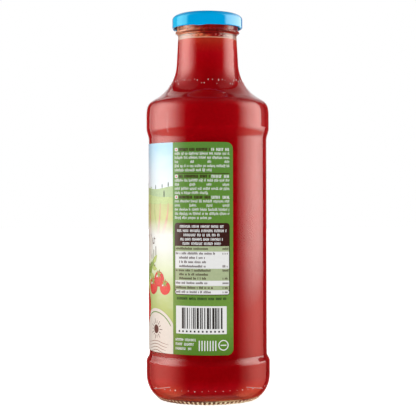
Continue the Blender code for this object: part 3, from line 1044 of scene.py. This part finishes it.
class Print:
    """Flat shapes in millimetres, each in an ink and some layers up, made into one bent mesh."""

    def __init__(self, inks, seed=0):
        self.bm = bmesh.new()
        self.inks = inks
        self.used = []
        self.random = random.Random(seed)

    def add(self, outline, ink, layer):
        if ink not in self.used:
            self.used.append(ink)
        rise = (PAPER_LEVEL + layer) * INK_STEP
        face = self.bm.faces.new([self.bm.verts.new((s, rise, z)) for s, z in outline])
        face.material_index = self.used.index(ink)
        if len(outline) > 4:
            bmesh.ops.triangulate(self.bm, faces=[face])

    def add_ring(self, s, z, outer, inner, ink, layer):
        """A flat ring as two halves."""
        for start in (0, 180):
            outside = flat_arc(s, z, outer, start, start + 180, 12)
            self.add(outside + flat_arc(s, z, inner, start + 180, start, 12), ink, layer)

    def cut_in_strips(self):
        """Cuts the shapes upright every few millimetres, so that they bend smoothly."""
        low = min(corner.co.x for corner in self.bm.verts)
        high = max(corner.co.x for corner in self.bm.verts)
        cut = math.floor(low / CUT_WIDTH) * CUT_WIDTH
        while cut < high:
            near = []
            for face in self.bm.faces:
                places = [corner.co.x for corner in face.verts]
                if min(places) < cut < max(places):
                    near.append(face)
            if near:
                edges = list({edge for face in near for edge in face.edges})
                corners = list({corner for face in near for corner in face.verts})
                parts = corners + edges + near
                bmesh.ops.bisect_plane(self.bm, geom=parts, plane_co=(cut, 0, 0), plane_no=(1, 0, 0))
            cut += CUT_WIDTH

    def bend(self, name, inner_rise=PAPER_THICKNESS - INK_STEP):
        """Gives the shapes their thickness, bends them round the bottle and returns the object."""
        self.cut_in_strips()
        bottoms = self.bm.verts[:]
        grown = bmesh.ops.extrude_face_region(self.bm, geom=self.bm.faces[:])
        tops = {item for item in grown["geom"] if isinstance(item, bmesh.types.BMVert)}
        for corner in bottoms:
            if corner not in tops:
                corner.co.y = inner_rise
        flat = self.bm.loops.layers.uv.new("flat")
        for face in self.bm.faces:
            for loop in face.loops:
                loop[flat].uv = (loop.vert.co.x * MM, loop.vert.co.z * MM)
        for corner in self.bm.verts:
            s, rise, z = corner.co
            z -= s * LABEL_SKEW
            corner.co = round_place(s / PAPER_RADIUS, PAPER_RADIUS + rise, z) * MM
        item = add_object(name, self.bm, *[self.inks[ink] for ink in self.used])
        return item


def make_label_sheet(inks):
    """The paper itself: the second panel, the artwork's ground and the information panel, side by side."""
    sheet = Print(inks)
    low, high = LABEL_FOOT + LABEL_CORNER, LABEL_HEAD - LABEL_CORNER
    start, end = LABEL_START + LABEL_CORNER, LABEL_END - LABEL_CORNER
    left = flat_arc(start, high, LABEL_CORNER, 90, 180, 8) + flat_arc(start, low, LABEL_CORNER, 180, 270, 8)
    right = flat_arc(end, low, LABEL_CORNER, -90, 0, 8) + flat_arc(end, high, LABEL_CORNER, 0, 90, 8)
    sheet.add([(ARTWORK_START, LABEL_HEAD), *left, (ARTWORK_START, LABEL_FOOT)], "green", 0)
    sheet.add(rectangle(ARTWORK_START, LABEL_FOOT, PANEL_START, LABEL_HEAD), "ground", 0)
    sheet.add([(PANEL_START, LABEL_FOOT), *right, (PANEL_START, LABEL_HEAD)], "green", 0)
    bmesh.ops.remove_doubles(sheet.bm, verts=sheet.bm.verts, dist=POINT_MERGE / MM)
    label = sheet.bend("label_sheet", 0.0)
    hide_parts("label")
    return label


def word_lengths(rng, room, count):
    """Lengths of words, in strokes, that fill the room. A count gives a loose line of so few words."""
    if count:
        return [rng.choice((4, 4, 5, 6, 7)) for _ in range(count)]
    lengths = []
    while sum(lengths) + len(lengths) < room:
        lengths.append(rng.choice((2, 3, 4, 5, 6, 7, 8, 9, 10)))
    spare = sum(lengths) + len(lengths) - 1 - room
    lengths[-1] = max(1, lengths[-1] - math.ceil(spare))
    return lengths


def add_words(sheet, left, right, z, height, ink, boldness, ragged=0.0, count=0, capitals=False):
    """A line of plain upright strokes, grouped as words are, that stands for a line of print."""
    pitch = height * 0.5
    room = (right - ragged * (right - left) - left) / pitch
    lengths = word_lengths(sheet.random, room, count)
    gap = min((room - sum(lengths)) / max(1, len(lengths) - 1), 40.0)
    s = left
    for length in lengths:
        for _ in range(length):
            add_stroke(sheet, s, z, height, pitch, ink, boldness, capitals)
            s += pitch
        s += gap * pitch


def add_stroke(sheet, s, z, height, pitch, ink, boldness, capitals):
    """One upright stroke, often with a short bar to the next one."""
    rng = sheet.random
    low, top = z - height * 0.5, z + height * 0.5
    if not capitals:
        low -= height * 0.28 if rng.random() < 0.12 else 0.0
        top += height * 0.36 if rng.random() < 0.28 else 0.0
    sheet.add(rectangle(s, low, s + pitch * boldness, top), ink, 2)
    if rng.random() < 0.6:
        bar = z + height * rng.choice((-0.40, 0.0, 0.38))
        sheet.add(rectangle(s, bar - height * 0.09, s + pitch * 0.96, bar + height * 0.09), ink, 2)


def add_text_block(sheet, z, lines, loose_line):
    """A heading and some lines under it. One line is loose, and the last one is short."""
    sheet.add(rectangle(TEXT_LEFT, z - 1.0, TEXT_LEFT + 2.0, z + 1.0, 0.5), "white", 1)
    sheet.add(ellipse(TEXT_LEFT + 1.0, z, 0.45, 0.55, steps=12), "tomato", 2)
    add_words(sheet, TEXT_LEFT + 2.8, HEADING_SPLIT, z, HEADING_HEIGHT, "brown", 0.66, capitals=True)
    add_words(sheet, HEADING_SPLIT + 0.7, TEXT_RIGHT, z, HEADING_HEIGHT, "white", 0.5, capitals=True)
    for line in range(lines):
        ragged = 0.28 + 0.3 * sheet.random.random() if line == lines - 1 else 0.0
        count = 4 if line == loose_line else 0
        row = z - LINE_PITCH * (line + 1)
        add_words(sheet, TEXT_LEFT, TEXT_RIGHT, row, 1.2, "white", 0.44, ragged, count)


def add_table(sheet):
    """The table of values: a dark head with pale lines, then bands in pale green and white."""
    left, right = TEXT_LEFT - 0.3, TEXT_RIGHT
    sheet.add(rectangle(left, TABLE_FOOT, right, TABLE_TOP, 1.9), "brown", 1)
    for line, inset in enumerate(TABLE_HEAD_INSETS):
        z = TABLE_TOP - 2.1 - line * 2.5
        add_words(sheet, left + 1 + inset, right - 1 - inset, z, 1.5, "white", 0.5, capitals=True)
    for top, low, ink, lines in TABLE_BANDS:
        corner = 1.2 if low < TABLE_FOOT + 1 else 0.0
        sheet.add(rectangle(left + TABLE_EDGE, low, right - TABLE_EDGE, top, corner), ink, 2)
        for line in range(lines):
            z = top - (top - low) / lines * (line + 0.5)
            indent = 0.9 if line == 0 else 3.2
            reach = left + (right - left) * (0.58 + 0.2 * sheet.random.random() - (0.1 if line else 0.0))
            add_table_words(sheet, left + indent, reach, z)
            if line in (0, lines - 1):
                add_table_words(sheet, right - 4.4, right - 1.3, z)


def add_table_words(sheet, left, right, z):
    """Finer strokes, as in a table's rows."""
    s = left
    while s < right:
        tall = 0.85 if sheet.random.random() < 0.3 else 0.5
        sheet.add(rectangle(s, z - 0.55, s + 0.38, z + tall), "brown", 3)
        s += 0.62 if sheet.random.random() > 0.16 else 1.3


def add_bars(sheet):
    """A white field with upright bars of random width over a row of dots, and no number."""
    left, right = TEXT_LEFT + 0.6, TEXT_RIGHT - 2.0
    sheet.add(rectangle(left, BARS_FOOT, right, BARS_TOP, 0.3), "white", 1)
    s = left + 3.9
    end = right - 2.3
    while s < end:
        width = sheet.random.choice(BAR_WIDTHS)
        sheet.add(rectangle(s, BARS_FOOT + 3.0, min(s + width, end), BARS_TOP - 1.0), "grey", 2)
        s += width + sheet.random.choice(BAR_GAPS)
    for number in range(BARS_DOT_COUNT):
        s = left + 2.2 + (right - left - 4.4) * number / (BARS_DOT_COUNT - 1)
        sheet.add(rectangle(s - 0.5, BARS_FOOT + 0.9, s + 0.5, BARS_FOOT + 2.0, 0.3), "grey", 2)


def add_panel_foot(sheet):
    """Small lines at the panel's foot, a row of thin upright bars and a barred ring."""
    left, right = TEXT_LEFT + 0.3, TEXT_LEFT + 13.2
    for line in range(3):
        z = FOOT_LINES_TOP - line * FOOT_LINE_PITCH
        add_words(sheet, left, right, z, 1.5, "white", 0.42, 0.1 * line, capitals=True)
    for number in range(FOOT_BAR_COUNT):
        s = FOOT_BARS_LEFT + number * FOOT_BAR_PITCH
        sheet.add(rectangle(s, FOOT_BARS_LOW, s + FOOT_BAR_WIDTH, FOOT_BARS_HIGH, 0.25), "white", 1)
    sheet.add_ring(*FOOT_RING, "white", 1)
    sheet.add(rectangle(7.2, 35.9, 10.8, 36.5, 0.25), "white", 1)


def make_panel_print(inks):
    """All that is printed on the information panel."""
    sheet = Print(inks, 7)
    add_text_block(sheet, *TEXT_BLOCKS[0])
    sheet.add(rectangle(TEXT_LEFT, RULE_HEIGHT[0], TEXT_RIGHT, RULE_HEIGHT[1]), "brown", 1)
    add_text_block(sheet, *TEXT_BLOCKS[1])
    add_text_block(sheet, *TEXT_BLOCKS[2])
    add_table(sheet)
    add_words(sheet, TEXT_LEFT + 1.2, TEXT_RIGHT - 2.0, NOTE_HEIGHT, 1.4, "dark_green", 0.6, capitals=True)
    add_bars(sheet)
    add_panel_foot(sheet)
    return sheet.bend("panel_print")


# Artwork


def hill(rng, left, right, base, height, waves, foot):
    """A rolling hill's outline across the artwork, and its top line."""
    phase = [rng.random() * math.tau for _ in range(3)]
    top = []
    for share in shares((1.0, 60)):
        turn = share * waves * math.tau
        swell = math.sin(turn + phase[0]) * 0.6 + math.sin(turn * 2.3 + phase[1]) * 0.3
        top.append((left + (right - left) * share, base + height * swell))
    return [(left, foot), (right, foot), *reversed(top)], top


def add_trees(sheet, top, count, low, high):
    """Small tall trees and round trees that stand on a hill's top line."""
    rng = sheet.random
    for _ in range(count):
        s, z = top[rng.randrange(2, len(top) - 2)]
        size = low + (high - low) * rng.random()
        if rng.random() < 0.6:
            sheet.add(ellipse(s, z + size, size * 0.28, size * 1.15, steps=14), "dark_green", 3)
        else:
            sheet.add(ellipse(s, z + size * 0.6, size * 0.7, size * 0.6, steps=14), "leaf_green", 3)


def add_tomato(sheet, s, z, radius, layer):
    """A round tomato with a lighter side, a shine and a green calyx."""
    sheet.add(ellipse(s, z, radius * 1.06, radius), "tomato", layer)
    light_side = ellipse(s - radius * 0.18, z - radius * 0.1, radius * 0.74, radius * 0.7)
    sheet.add(light_side, "tomato_light", layer + 1)
    shine = ellipse(s - radius * 0.38, z + radius * 0.34, radius * 0.2, radius * 0.11, 0.6, 14)
    sheet.add(shine, "white", layer + 2)
    for number in range(6):
        angle = math.tau * number / 6 + 0.3
        sheet.add(leaf(s, z + radius * 0.62, radius * 0.62, radius * 0.2, angle), "leaf_green", layer + 3)


def add_sprig(sheet, s, z, size, turn, layer):
    """A basil sprig: a stalk with pairs of broad leaves."""
    path = []
    for step in range(7):
        t = step / 6
        path.append((s + size * t * math.cos(turn + 0.3 * t), z + size * t * math.sin(turn + 0.3 * t)))
    sheet.add(stroke(path, [0.7 - 0.07 * step for step in range(7)]), "leaf_green", layer)
    for pair in range(3):
        length = size * (0.62 - 0.12 * pair)
        for side, ink in ((1, "leaf_green"), (-1, "leaf_light")):
            angle = turn + side * (0.95 - 0.15 * pair)
            sheet.add(leaf(*path[1 + pair * 2], length, length * 0.52, angle), ink, layer + 1)
    sheet.add(leaf(*path[-1], size * 0.42, size * 0.2, turn + 0.3), "leaf_light", layer + 1)


def within(outline, left, right, foot):
    """The outline held inside the artwork's left, right and lower edges, without points that repeat."""
    held = []
    for s, z in outline:
        point = (min(max(s, left), right), max(z, foot))
        if not held or math.dist(point, held[-1]) > EDGE_GAP:
            held.append(point)
    while math.dist(held[0], held[-1]) < EDGE_GAP:
        held.pop()
    return held


def add_medallion(sheet, s, edges):
    """A large cream disc that the label's edges cut, with part of a green ring, a sun and thin furrows."""
    z, radius = MEDALLION_HEIGHT, MEDALLION_RADIUS
    sheet.add(within(ellipse(s, z, radius, radius, steps=96), *edges, LABEL_FOOT + EDGE_GAP), "cream", 5)
    ring = flat_arc(s, z, radius * 0.88, 30, 150, 30)
    sheet.add(stroke(ring, [0.2, *[0.62] * (len(ring) - 2), 0.2]), "leaf_dark", 6)
    centre = Vector((s, z + radius * 0.3))
    sheet.add(ellipse(*centre, radius * 0.15, radius * 0.15), "brown", 6)
    for ray in range(14):
        angle = math.tau * ray / 14
        out = Vector((math.cos(angle), math.sin(angle))) * radius
        ends = [tuple(centre + out * 0.2), tuple(centre + out * (0.3 if ray % 2 else 0.36))]
        sheet.add(stroke(ends, [0.5, 0.25]), "brown", 6)
    for row in range(5):
        half = radius * (0.66 - 0.07 * row)
        level = z - radius * (0.14 + 0.1 * row)
        along = (-1, -0.6, -0.2, 0.2, 0.6, 1)
        path = [(s + half * t, level + radius * 0.05 * math.cos(t * math.pi)) for t in along]
        sheet.add(stroke(path, [0.15, 0.28, 0.32, 0.32, 0.28, 0.15]), "thin_brown", 6)


def add_furrows(sheet, left, right):
    """Rows of soil and green that fan out over the field and fade towards its foot."""
    for number in range(FURROW_COUNT):
        middle = left + (right - left) * (number + 0.5) / FURROW_COUNT
        lean = 7.0 * math.sin(number * 1.7 + 0.4)
        path = []
        widths = []
        for step in range(8):
            t = step / 7
            s = min(max(middle + lean * t * t, left + FURROW_MARGIN), right - FURROW_MARGIN)
            path.append((s, HORIZON + (FIELD_FOOT - HORIZON) * t))
            widths.append(0.4 + 2.4 * t)
        sheet.add(stroke(path, widths), "furrow" if number % 3 else "furrow_green", 5)


def make_artwork(inks):
    """The front's picture: hills with trees, a pale middle, tomatoes with basil and two cream medallions."""
    sheet = Print(inks, 11)
    edges = (ARTWORK_START + EDGE_GAP, PANEL_START - EDGE_GAP)
    left, right = edges
    far, far_top = hill(sheet.random, *edges, 128.5, 1.3, 1.6, 118.0)
    near, near_top = hill(sheet.random, *edges, 123.0, 1.6, 1.1, 114.0)
    sheet.add(far, "far_hill", 1)
    add_trees(sheet, far_top, 16, 0.8, 1.6)
    sheet.add(near, "near_hill", 2)
    add_trees(sheet, near_top, 9, 1.2, 2.2)
    sheet.add(rectangle(left, FIELD_FOOT, right, FIELD_TOP), "field", 4)
    add_furrows(sheet, *edges)
    middle = (left + right) / 2
    sheet.add(rectangle(middle - 32, 84.0, middle + 32, 104.5, 9.0), "cream", 5)
    sheet.add(rectangle(middle - 24, 97.6, middle + 24, 100.6, 1.4), "brown", 6)
    sheet.add(rectangle(middle - 15, 91.0, middle + 15, 92.6, 0.7), "brown", 6)
    for s in (middle - 19, middle + 19):
        sheet.add(ellipse(s, 91.8, 1.3, 1.3, steps=16), "tomato", 6)
    for offset, z, size, turn in SPRIGS:
        add_sprig(sheet, middle + offset, z, size, turn, 5)
    for offset, z, radius, layer in TOMATOES:
        add_tomato(sheet, middle + offset, z, radius, layer)
    for offset, z, radius in SMALL_TOMATOES:
        add_tomato(sheet, right + offset, z, radius, 7)
    words_left = right - 27
    add_words(sheet, words_left, right - 14.5, 96.5, 3.6, "soft_brown", 0.3)
    add_words(sheet, words_left, right - 12, 88.5, 5.6, "soft_brown", 0.24)
    add_words(sheet, words_left, right - 15.5, 81.0, 2.6, "thin_brown", 0.3)
    for s in (right - MEDALLION_INSET, left + MEDALLION_INSET):
        add_medallion(sheet, s, edges)
    return sheet.bend("artwork_print")


def make_back_print(inks):
    """What is printed on the panel that faces away: rows of plain strokes and three simple signs."""
    sheet = Print(inks, 19)
    left, right = LABEL_START + 3.2, ARTWORK_START - 2.6
    for block in range(4):
        z = BACK_TOP - BACK_BLOCK_PITCH * block
        add_words(sheet, left, right, z, 1.9, "cream", 0.68, 0.3)
        for line in range(5):
            row = z - 0.6 - LINE_PITCH * (line + 1)
            add_words(sheet, left, right, row, 1.3, "white", 0.55, 0.4 if line == 4 else 0.0)
    sheet.add(rectangle(left, 60.0, right, 74.0, 2.0), "cream", 1)
    for number in range(3):
        s = left + (right - left) / 3 * (number + 0.5)
        sheet.add_ring(s, BACK_SIGNS_HEIGHT, 4.3, 3.7, "brown", 2)
        sheet.add(rectangle(s - 1.3, 64.4, s + 1.3, 68.4 + number * 0.5, 0.6), "brown", 2)
    for line in range(8):
        z = BACK_LINES_TOP - line * FOOT_LINE_PITCH
        add_words(sheet, left, right, z, 1.4, "white", 0.55, 0.35 if line == 7 else 0.0)
    return sheet.bend("back_print")


def label_inks():
    """All materials of the label, by name."""
    inks = {"green": panel_green_material(), "ground": artwork_ground_material()}
    inks["tomato"] = tomato_material()
    for name, (colour, spread) in INKS.items():
        inks[name] = printed_material(name + "_ink", colour, spread)
    for name, colour in FADING_INKS.items():
        inks[name] = fading_material(name + "_ink", colour)
    return inks


# Stage, light and camera

CAMERA_DISTANCE = 0.75
CAMERA_HEIGHT = 0.1163
CAMERA_SIDE = 0.0001
CAMERA_LENS = 106.0
CAMERA_ROLL = math.radians(0.16)
ROOM_LIGHT = 0.98
ROOM_DARK = (0.004, 0.004, 0.006)
LIGHT_COLOUR = (1.0, 0.98, 0.89)
FLOOR_GLOW = 0.8
WIDE_SLANT = 3.0
SMALLEST_RISE = 0.01
CEILING_GAPS = ((0.60, 1.02, 0.9), (1.12, 1.55, 0.6))

# The side lights: colour along Y and up, as stops of (metres, share)
SIDE_LIGHT_DISTANCE = 0.55
CAP_LIGHT_DISTANCE = 0.56
SIDE_LIGHT_STRENGTH = 5.4
LEFT_ALONG = (
    (-0.66, 0.0), (-0.50, 0.11), (-0.37, 0.33), (-0.26, 0.63), (-0.16, 0.87), (-0.05, 1.0),
    (0.03, 0.91), (0.15, 0.72), (0.22, 0.53), (0.30, 0.35), (0.41, 0.20), (0.60, 0.19),
)
RIGHT_ALONG = (
    (-0.38, 0.0), (-0.32, 0.11), (-0.265, 0.23), (-0.216, 0.33), (-0.157, 0.52), (-0.11, 0.68),
    (-0.06, 0.80), (0.04, 0.90), (0.16, 0.80), (0.31, 0.52), (0.43, 0.34), (0.52, 0.30),
)
RIGHT_UPPER_ALONG = (
    (-0.36, 0.0), (-0.31, 0.10), (-0.255, 0.26), (-0.206, 0.42), (-0.157, 0.60), (-0.11, 0.76),
    (-0.06, 0.86), (0.04, 0.92), (0.16, 0.84), (0.25, 0.68), (0.28, 0.06), (0.52, 0.0),
)
LEFT_CAP_ALONG = (
    (-0.31, 0.0), (-0.24, (0.08, 0.22, 0.2)), (-0.18, (0.33, 0.72, 0.66)), (-0.05, (0.39, 0.80, 0.76)),
    (0.10, (0.40, 0.86, 0.82)), (0.22, (0.28, 0.68, 0.70)), (0.32, (0.04, 0.30, 0.34)),
    (1.2, (0.0, 0.06, 0.08)),
)
RIGHT_CAP_ALONG = (
    (-0.40, 0.0), (-0.35, 0.10), (-0.29, 0.62), (-0.20, 0.86), (-0.09, 0.96), (0.04, 1.0),
    (0.2, 0.92), (0.45, 0.70), (0.8, 0.6),
)
LIGHT_LOW = (
    (-0.75, (0.8, 0.2, 0.11)), (-0.34, (0.8, 0.2, 0.11)), (-0.17, (0.66, 0.20, 0.16)),
    (-0.05, (0.58, 0.23, 0.20)), (-0.02, (0.57, 0.24, 0.21)), (0.03, (0.58, 0.30, 0.27)),
    (0.055, 0.66), (0.08, 0.90), (0.14, 1.0), (0.19, 1.0),
)
LIGHT_HIGH = (
    (0.19, 1.0), (0.40, 1.0), (0.45, 0.90), (0.52, 0.62), (0.60, 0.32), (0.72, 0.12), (0.95, 0.03),
    (1.1, 0.0),
)
LIGHT_CAP = ((0.0, 1.0), (0.45, 1.0), (0.70, 0.45), (0.95, 0.2))

# Each side light: its name, side, colours along Y and up, and whether it is for the cap alone
SIDE_LIGHTS = (
    ("left_light", -SIDE_LIGHT_DISTANCE, LEFT_ALONG, LIGHT_LOW, False),
    ("left_upper_light", -SIDE_LIGHT_DISTANCE, LEFT_ALONG, LIGHT_HIGH, False),
    ("right_light", SIDE_LIGHT_DISTANCE, RIGHT_ALONG, LIGHT_LOW, False),
    ("right_upper_light", SIDE_LIGHT_DISTANCE, RIGHT_UPPER_ALONG, LIGHT_HIGH, False),
    ("left_cap_light", -CAP_LIGHT_DISTANCE, LEFT_CAP_ALONG, LIGHT_CAP, True),
    ("right_cap_light", CAP_LIGHT_DISTANCE, RIGHT_CAP_ALONG, LIGHT_CAP, True),
)


def make_camera():
    camera = bpy.data.objects.new("camera", bpy.data.cameras.new("camera"))
    camera.data.lens = CAMERA_LENS
    camera.data.sensor_width = 36.0
    camera.location = (CAMERA_SIDE, -CAMERA_DISTANCE, CAMERA_HEIGHT)
    camera.rotation_euler = (math.radians(90), CAMERA_ROLL, 0)
    bpy.context.scene.collection.objects.link(camera)
    bpy.context.scene.camera = camera


def make_floor():
    """A plain white floor, bright enough to show no shadow. The glass doesn't mirror it."""
    bm = bmesh.new()
    bmesh.ops.create_grid(bm, x_segments=1, y_segments=1, size=6.0)
    material, shader = new_material("floor_paint")
    set_inputs(shader, Base_Color=(0.8, 0.8, 0.8), Roughness=0.9, Specular_IOR_Level=0.0)
    set_inputs(shader, Emission_Color=(1.0, 1.0, 1.0), Emission_Strength=FLOOR_GLOW)
    floor = add_object("floor", bm, material)
    floor.visible_glossy = False


def light_share(place, axis, stops):
    """A side light's colour along one of its ways, from stops of (metres, share or colour)."""
    low, high = stops[0][0], stops[-1][0]
    along = mapped(part_of(place, axis), low, high)
    return ramp(along, *[((metres - low) / (high - low), share) for metres, share in stops])


def light_material(name, along_stops, up_stops):
    """A glow that fades along the light and up it, and that lets the other lights through."""
    material, shader = new_material(name)
    place = position(shader)
    emission = new_node(shader, "Emission")
    shades = (light_share(place, "Y", along_stops), light_share(place, "Z", up_stops))
    set_inputs(emission, Color=times(*shades, LIGHT_COLOUR), Strength=SIDE_LIGHT_STRENGTH)
    both = new_node(shader, "AddShader")
    set_input(both.inputs[0], emission.outputs["Emission"])
    set_input(both.inputs[1], new_node(shader, "BsdfTransparent").outputs["BSDF"])
    nodes = material.node_tree.nodes
    set_inputs(nodes["Material Output"], Surface=both.outputs["Shader"])
    nodes.remove(shader)
    return material


def side_light(name, side, along_stops, up_stops, cap, for_cap):
    """A tall soft light beside the bottle, for the cap alone or for all but the cap."""
    front, back = along_stops[0][0], along_stops[-1][0]
    foot, top = up_stops[0][0], up_stops[-1][0]
    mesh = bpy.data.meshes.new(name)
    corners = [(side, y, z) for y, z in ((front, foot), (back, foot), (back, top), (front, top))]
    mesh.from_pydata(corners, [], [(0, 1, 2, 3)])
    mesh.materials.append(light_material(name, along_stops, up_stops))
    light = bpy.data.objects.new(name, mesh)
    bpy.context.scene.collection.objects.link(light)
    light.visible_camera = False
    light.visible_shadow = False
    light.visible_diffuse = False
    lit = bpy.data.collections.new(name + "_lit")
    lit.objects.link(cap)
    lit.collection_objects[0].light_linking.link_state = "INCLUDE" if for_cap else "EXCLUDE"
    light.light_linking.receiver_collection = lit


def wall_light(up, back, slant, behind, on_right):
    """How bright the wall behind the bottle is: white in its middle, with the table below."""
    wide_slant = mapped(slant, 0.0, WIDE_SLANT)
    wall = ramp(slant, (0.0, 1.0), (0.28, 1.0), (0.38, 0.34), (0.62, 0.16), (0.85, 0.0))
    wall = times(wall, ramp(up, (0.44, 1.0), (0.50, 0.0)))
    table = ramp(wide_slant, (0.30, 1.0), (0.45, 0.0))
    below = ramp(mapped(up, -1.0, 1.0), (0.24, 1.0), (0.33, 0.0))
    wall = lighter(wall, times(table, below))
    high = ramp(up, (0.28, 0.0), (0.36, 1.0), (0.50, 1.0), (0.56, 0.0))
    high = mixed(on_right, 0.0, high)
    wide = ramp(wide_slant, (0.22, 0.7), (0.30, 0.0))
    wall = lighter(wall, times(wide, high))
    return times(wall, behind)


def wall_colour(up, slant):
    """The wall's warm foot, and its red edge above the table."""
    tone = ramp(mapped(up, -1.0, 1.0), (0.27, (1.0, 0.55, 0.33)), (0.42, 1.0))
    edge = ramp(slant, (0.28, 1.0), (0.36, (1.0, 0.12, 0.08)))
    on_level = ramp(up, (0.25, 1.0), (0.36, 0.0))
    return times(tone, mixed(on_level, 1.0, edge))


def ceiling_light(up, back, slant, on_right):
    """The dim ceiling, brighter low down and behind, with a gap at each side."""
    beside = mapped(slant, 0.0, WIDE_SLANT)
    far = ramp(up, (0.5, 0.3), (0.75, 0.42), (0.87, 0.75))
    sides = []
    for gap_start, gap_end, level in CEILING_GAPS:
        near = ramp(beside, ((gap_start - 0.03) / WIDE_SLANT, 1.0), ((gap_start + 0.03) / WIDE_SLANT, 0.0))
        beyond = ramp(beside, ((gap_end - 0.06) / WIDE_SLANT, 0.0), ((gap_end + 0.16) / WIDE_SLANT, 1.0))
        sides.append(mixed(1.0, times(near, level), times(beyond, far), "ADD"))
    glow = ramp(
        up, (0.46, 0.0), (0.51, (1.5, 1.4, 1.35)), (0.58, (1.35, 1.25, 1.2)), (0.70, (0.78, 0.70, 0.66)),
        (0.78, (0.48, 0.42, 0.40)), (0.90, (0.36, 0.31, 0.30)), (1.0, (0.20, 0.17, 0.165)),
    )
    forward = ramp(maths("MULTIPLY", back, -1.0), (0.0, 1.0), (0.30, 0.35), (0.50, 0.12), (0.8, 0.0))
    return times(glow, forward, mixed(on_right, *sides))


def make_world():
    """A white wall behind the bottle, a dim ceiling and an even light from all sides."""
    world = bpy.data.worlds.new("studio")
    world.use_nodes = True
    bpy.context.scene.world = world
    background = world.node_tree.nodes["Background"]
    place = new_node(background, "TexCoord").outputs["Generated"]
    side, back, up = (part_of(place, axis) for axis in "XYZ")
    aside = maths("ABSOLUTE", side)
    on_right = maths("GREATER_THAN", side, 0.0)
    slant = maths("DIVIDE", aside, maths("MAXIMUM", back, SMALLEST_RISE))
    across = maths("DIVIDE", aside, maths("MAXIMUM", up, SMALLEST_RISE))
    behind = ramp(back, (0.02, 0.0), (0.06, 1.0))
    hollow = times(ramp(slant, (0.26, 1.0), (0.31, 0.0)), behind)
    hollow = lighter(hollow, ramp(across, (0.25, 1.0), (0.31, 0.0)))
    ceiling = mixed(hollow, ceiling_light(up, back, slant, on_right), ROOM_DARK)
    wall = wall_light(up, back, slant, behind, on_right)
    seen = mixed(wall, ceiling, wall_colour(up, slant))
    soft = ramp(mapped(back, -1.0, 1.0), (0.0, 1.0), (0.5, 0.85), (1.0, 0.45))
    soft = times(soft, ramp(up, (0.3, 1.0), (0.9, 1.3)), ROOM_LIGHT)
    path = new_node(background, "LightPath")
    room = mixed(path.outputs["Is Diffuse Ray"], seen, soft)
    room = mixed(path.outputs["Is Transmission Ray"], room, 1.0)
    set_inputs(background, Color=mixed(path.outputs["Is Camera Ray"], room, 1.0))


def main():
    bpy.context.scene.view_settings.view_transform = "Standard"
    make_camera()
    make_world()
    make_floor()
    inks = label_inks()
    # The moulded marks' pale tone and faint glow are painted glints.
    beads = painted_glint_material("bead_glass_painted_glint", 0.62, 0.12)
    cap = make_cap(enamel_material())
    for light in SIDE_LIGHTS:
        side_light(*light[:4], cap, light[4])
    pieces = [
        make_glass(glass_material()),
        make_knurls(knurl_material()),
        make_heel_dots(beads),
        make_heel_seams(painted_glint_material("seam_glass_painted_glint", 0.32, 0.0)),
        make_neck_marks(painted_glint_material("mark_glass_painted_glint", 0.5, 0.03)),
        make_code_dots(beads),
        make_passata(passata_material()),
        make_film(film_material()),
        cap,
        make_label_sheet(inks),
        make_panel_print(inks),
        make_artwork(inks),
        make_back_print(inks),
    ]
    for piece in pieces:
        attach(piece, "root")


main()
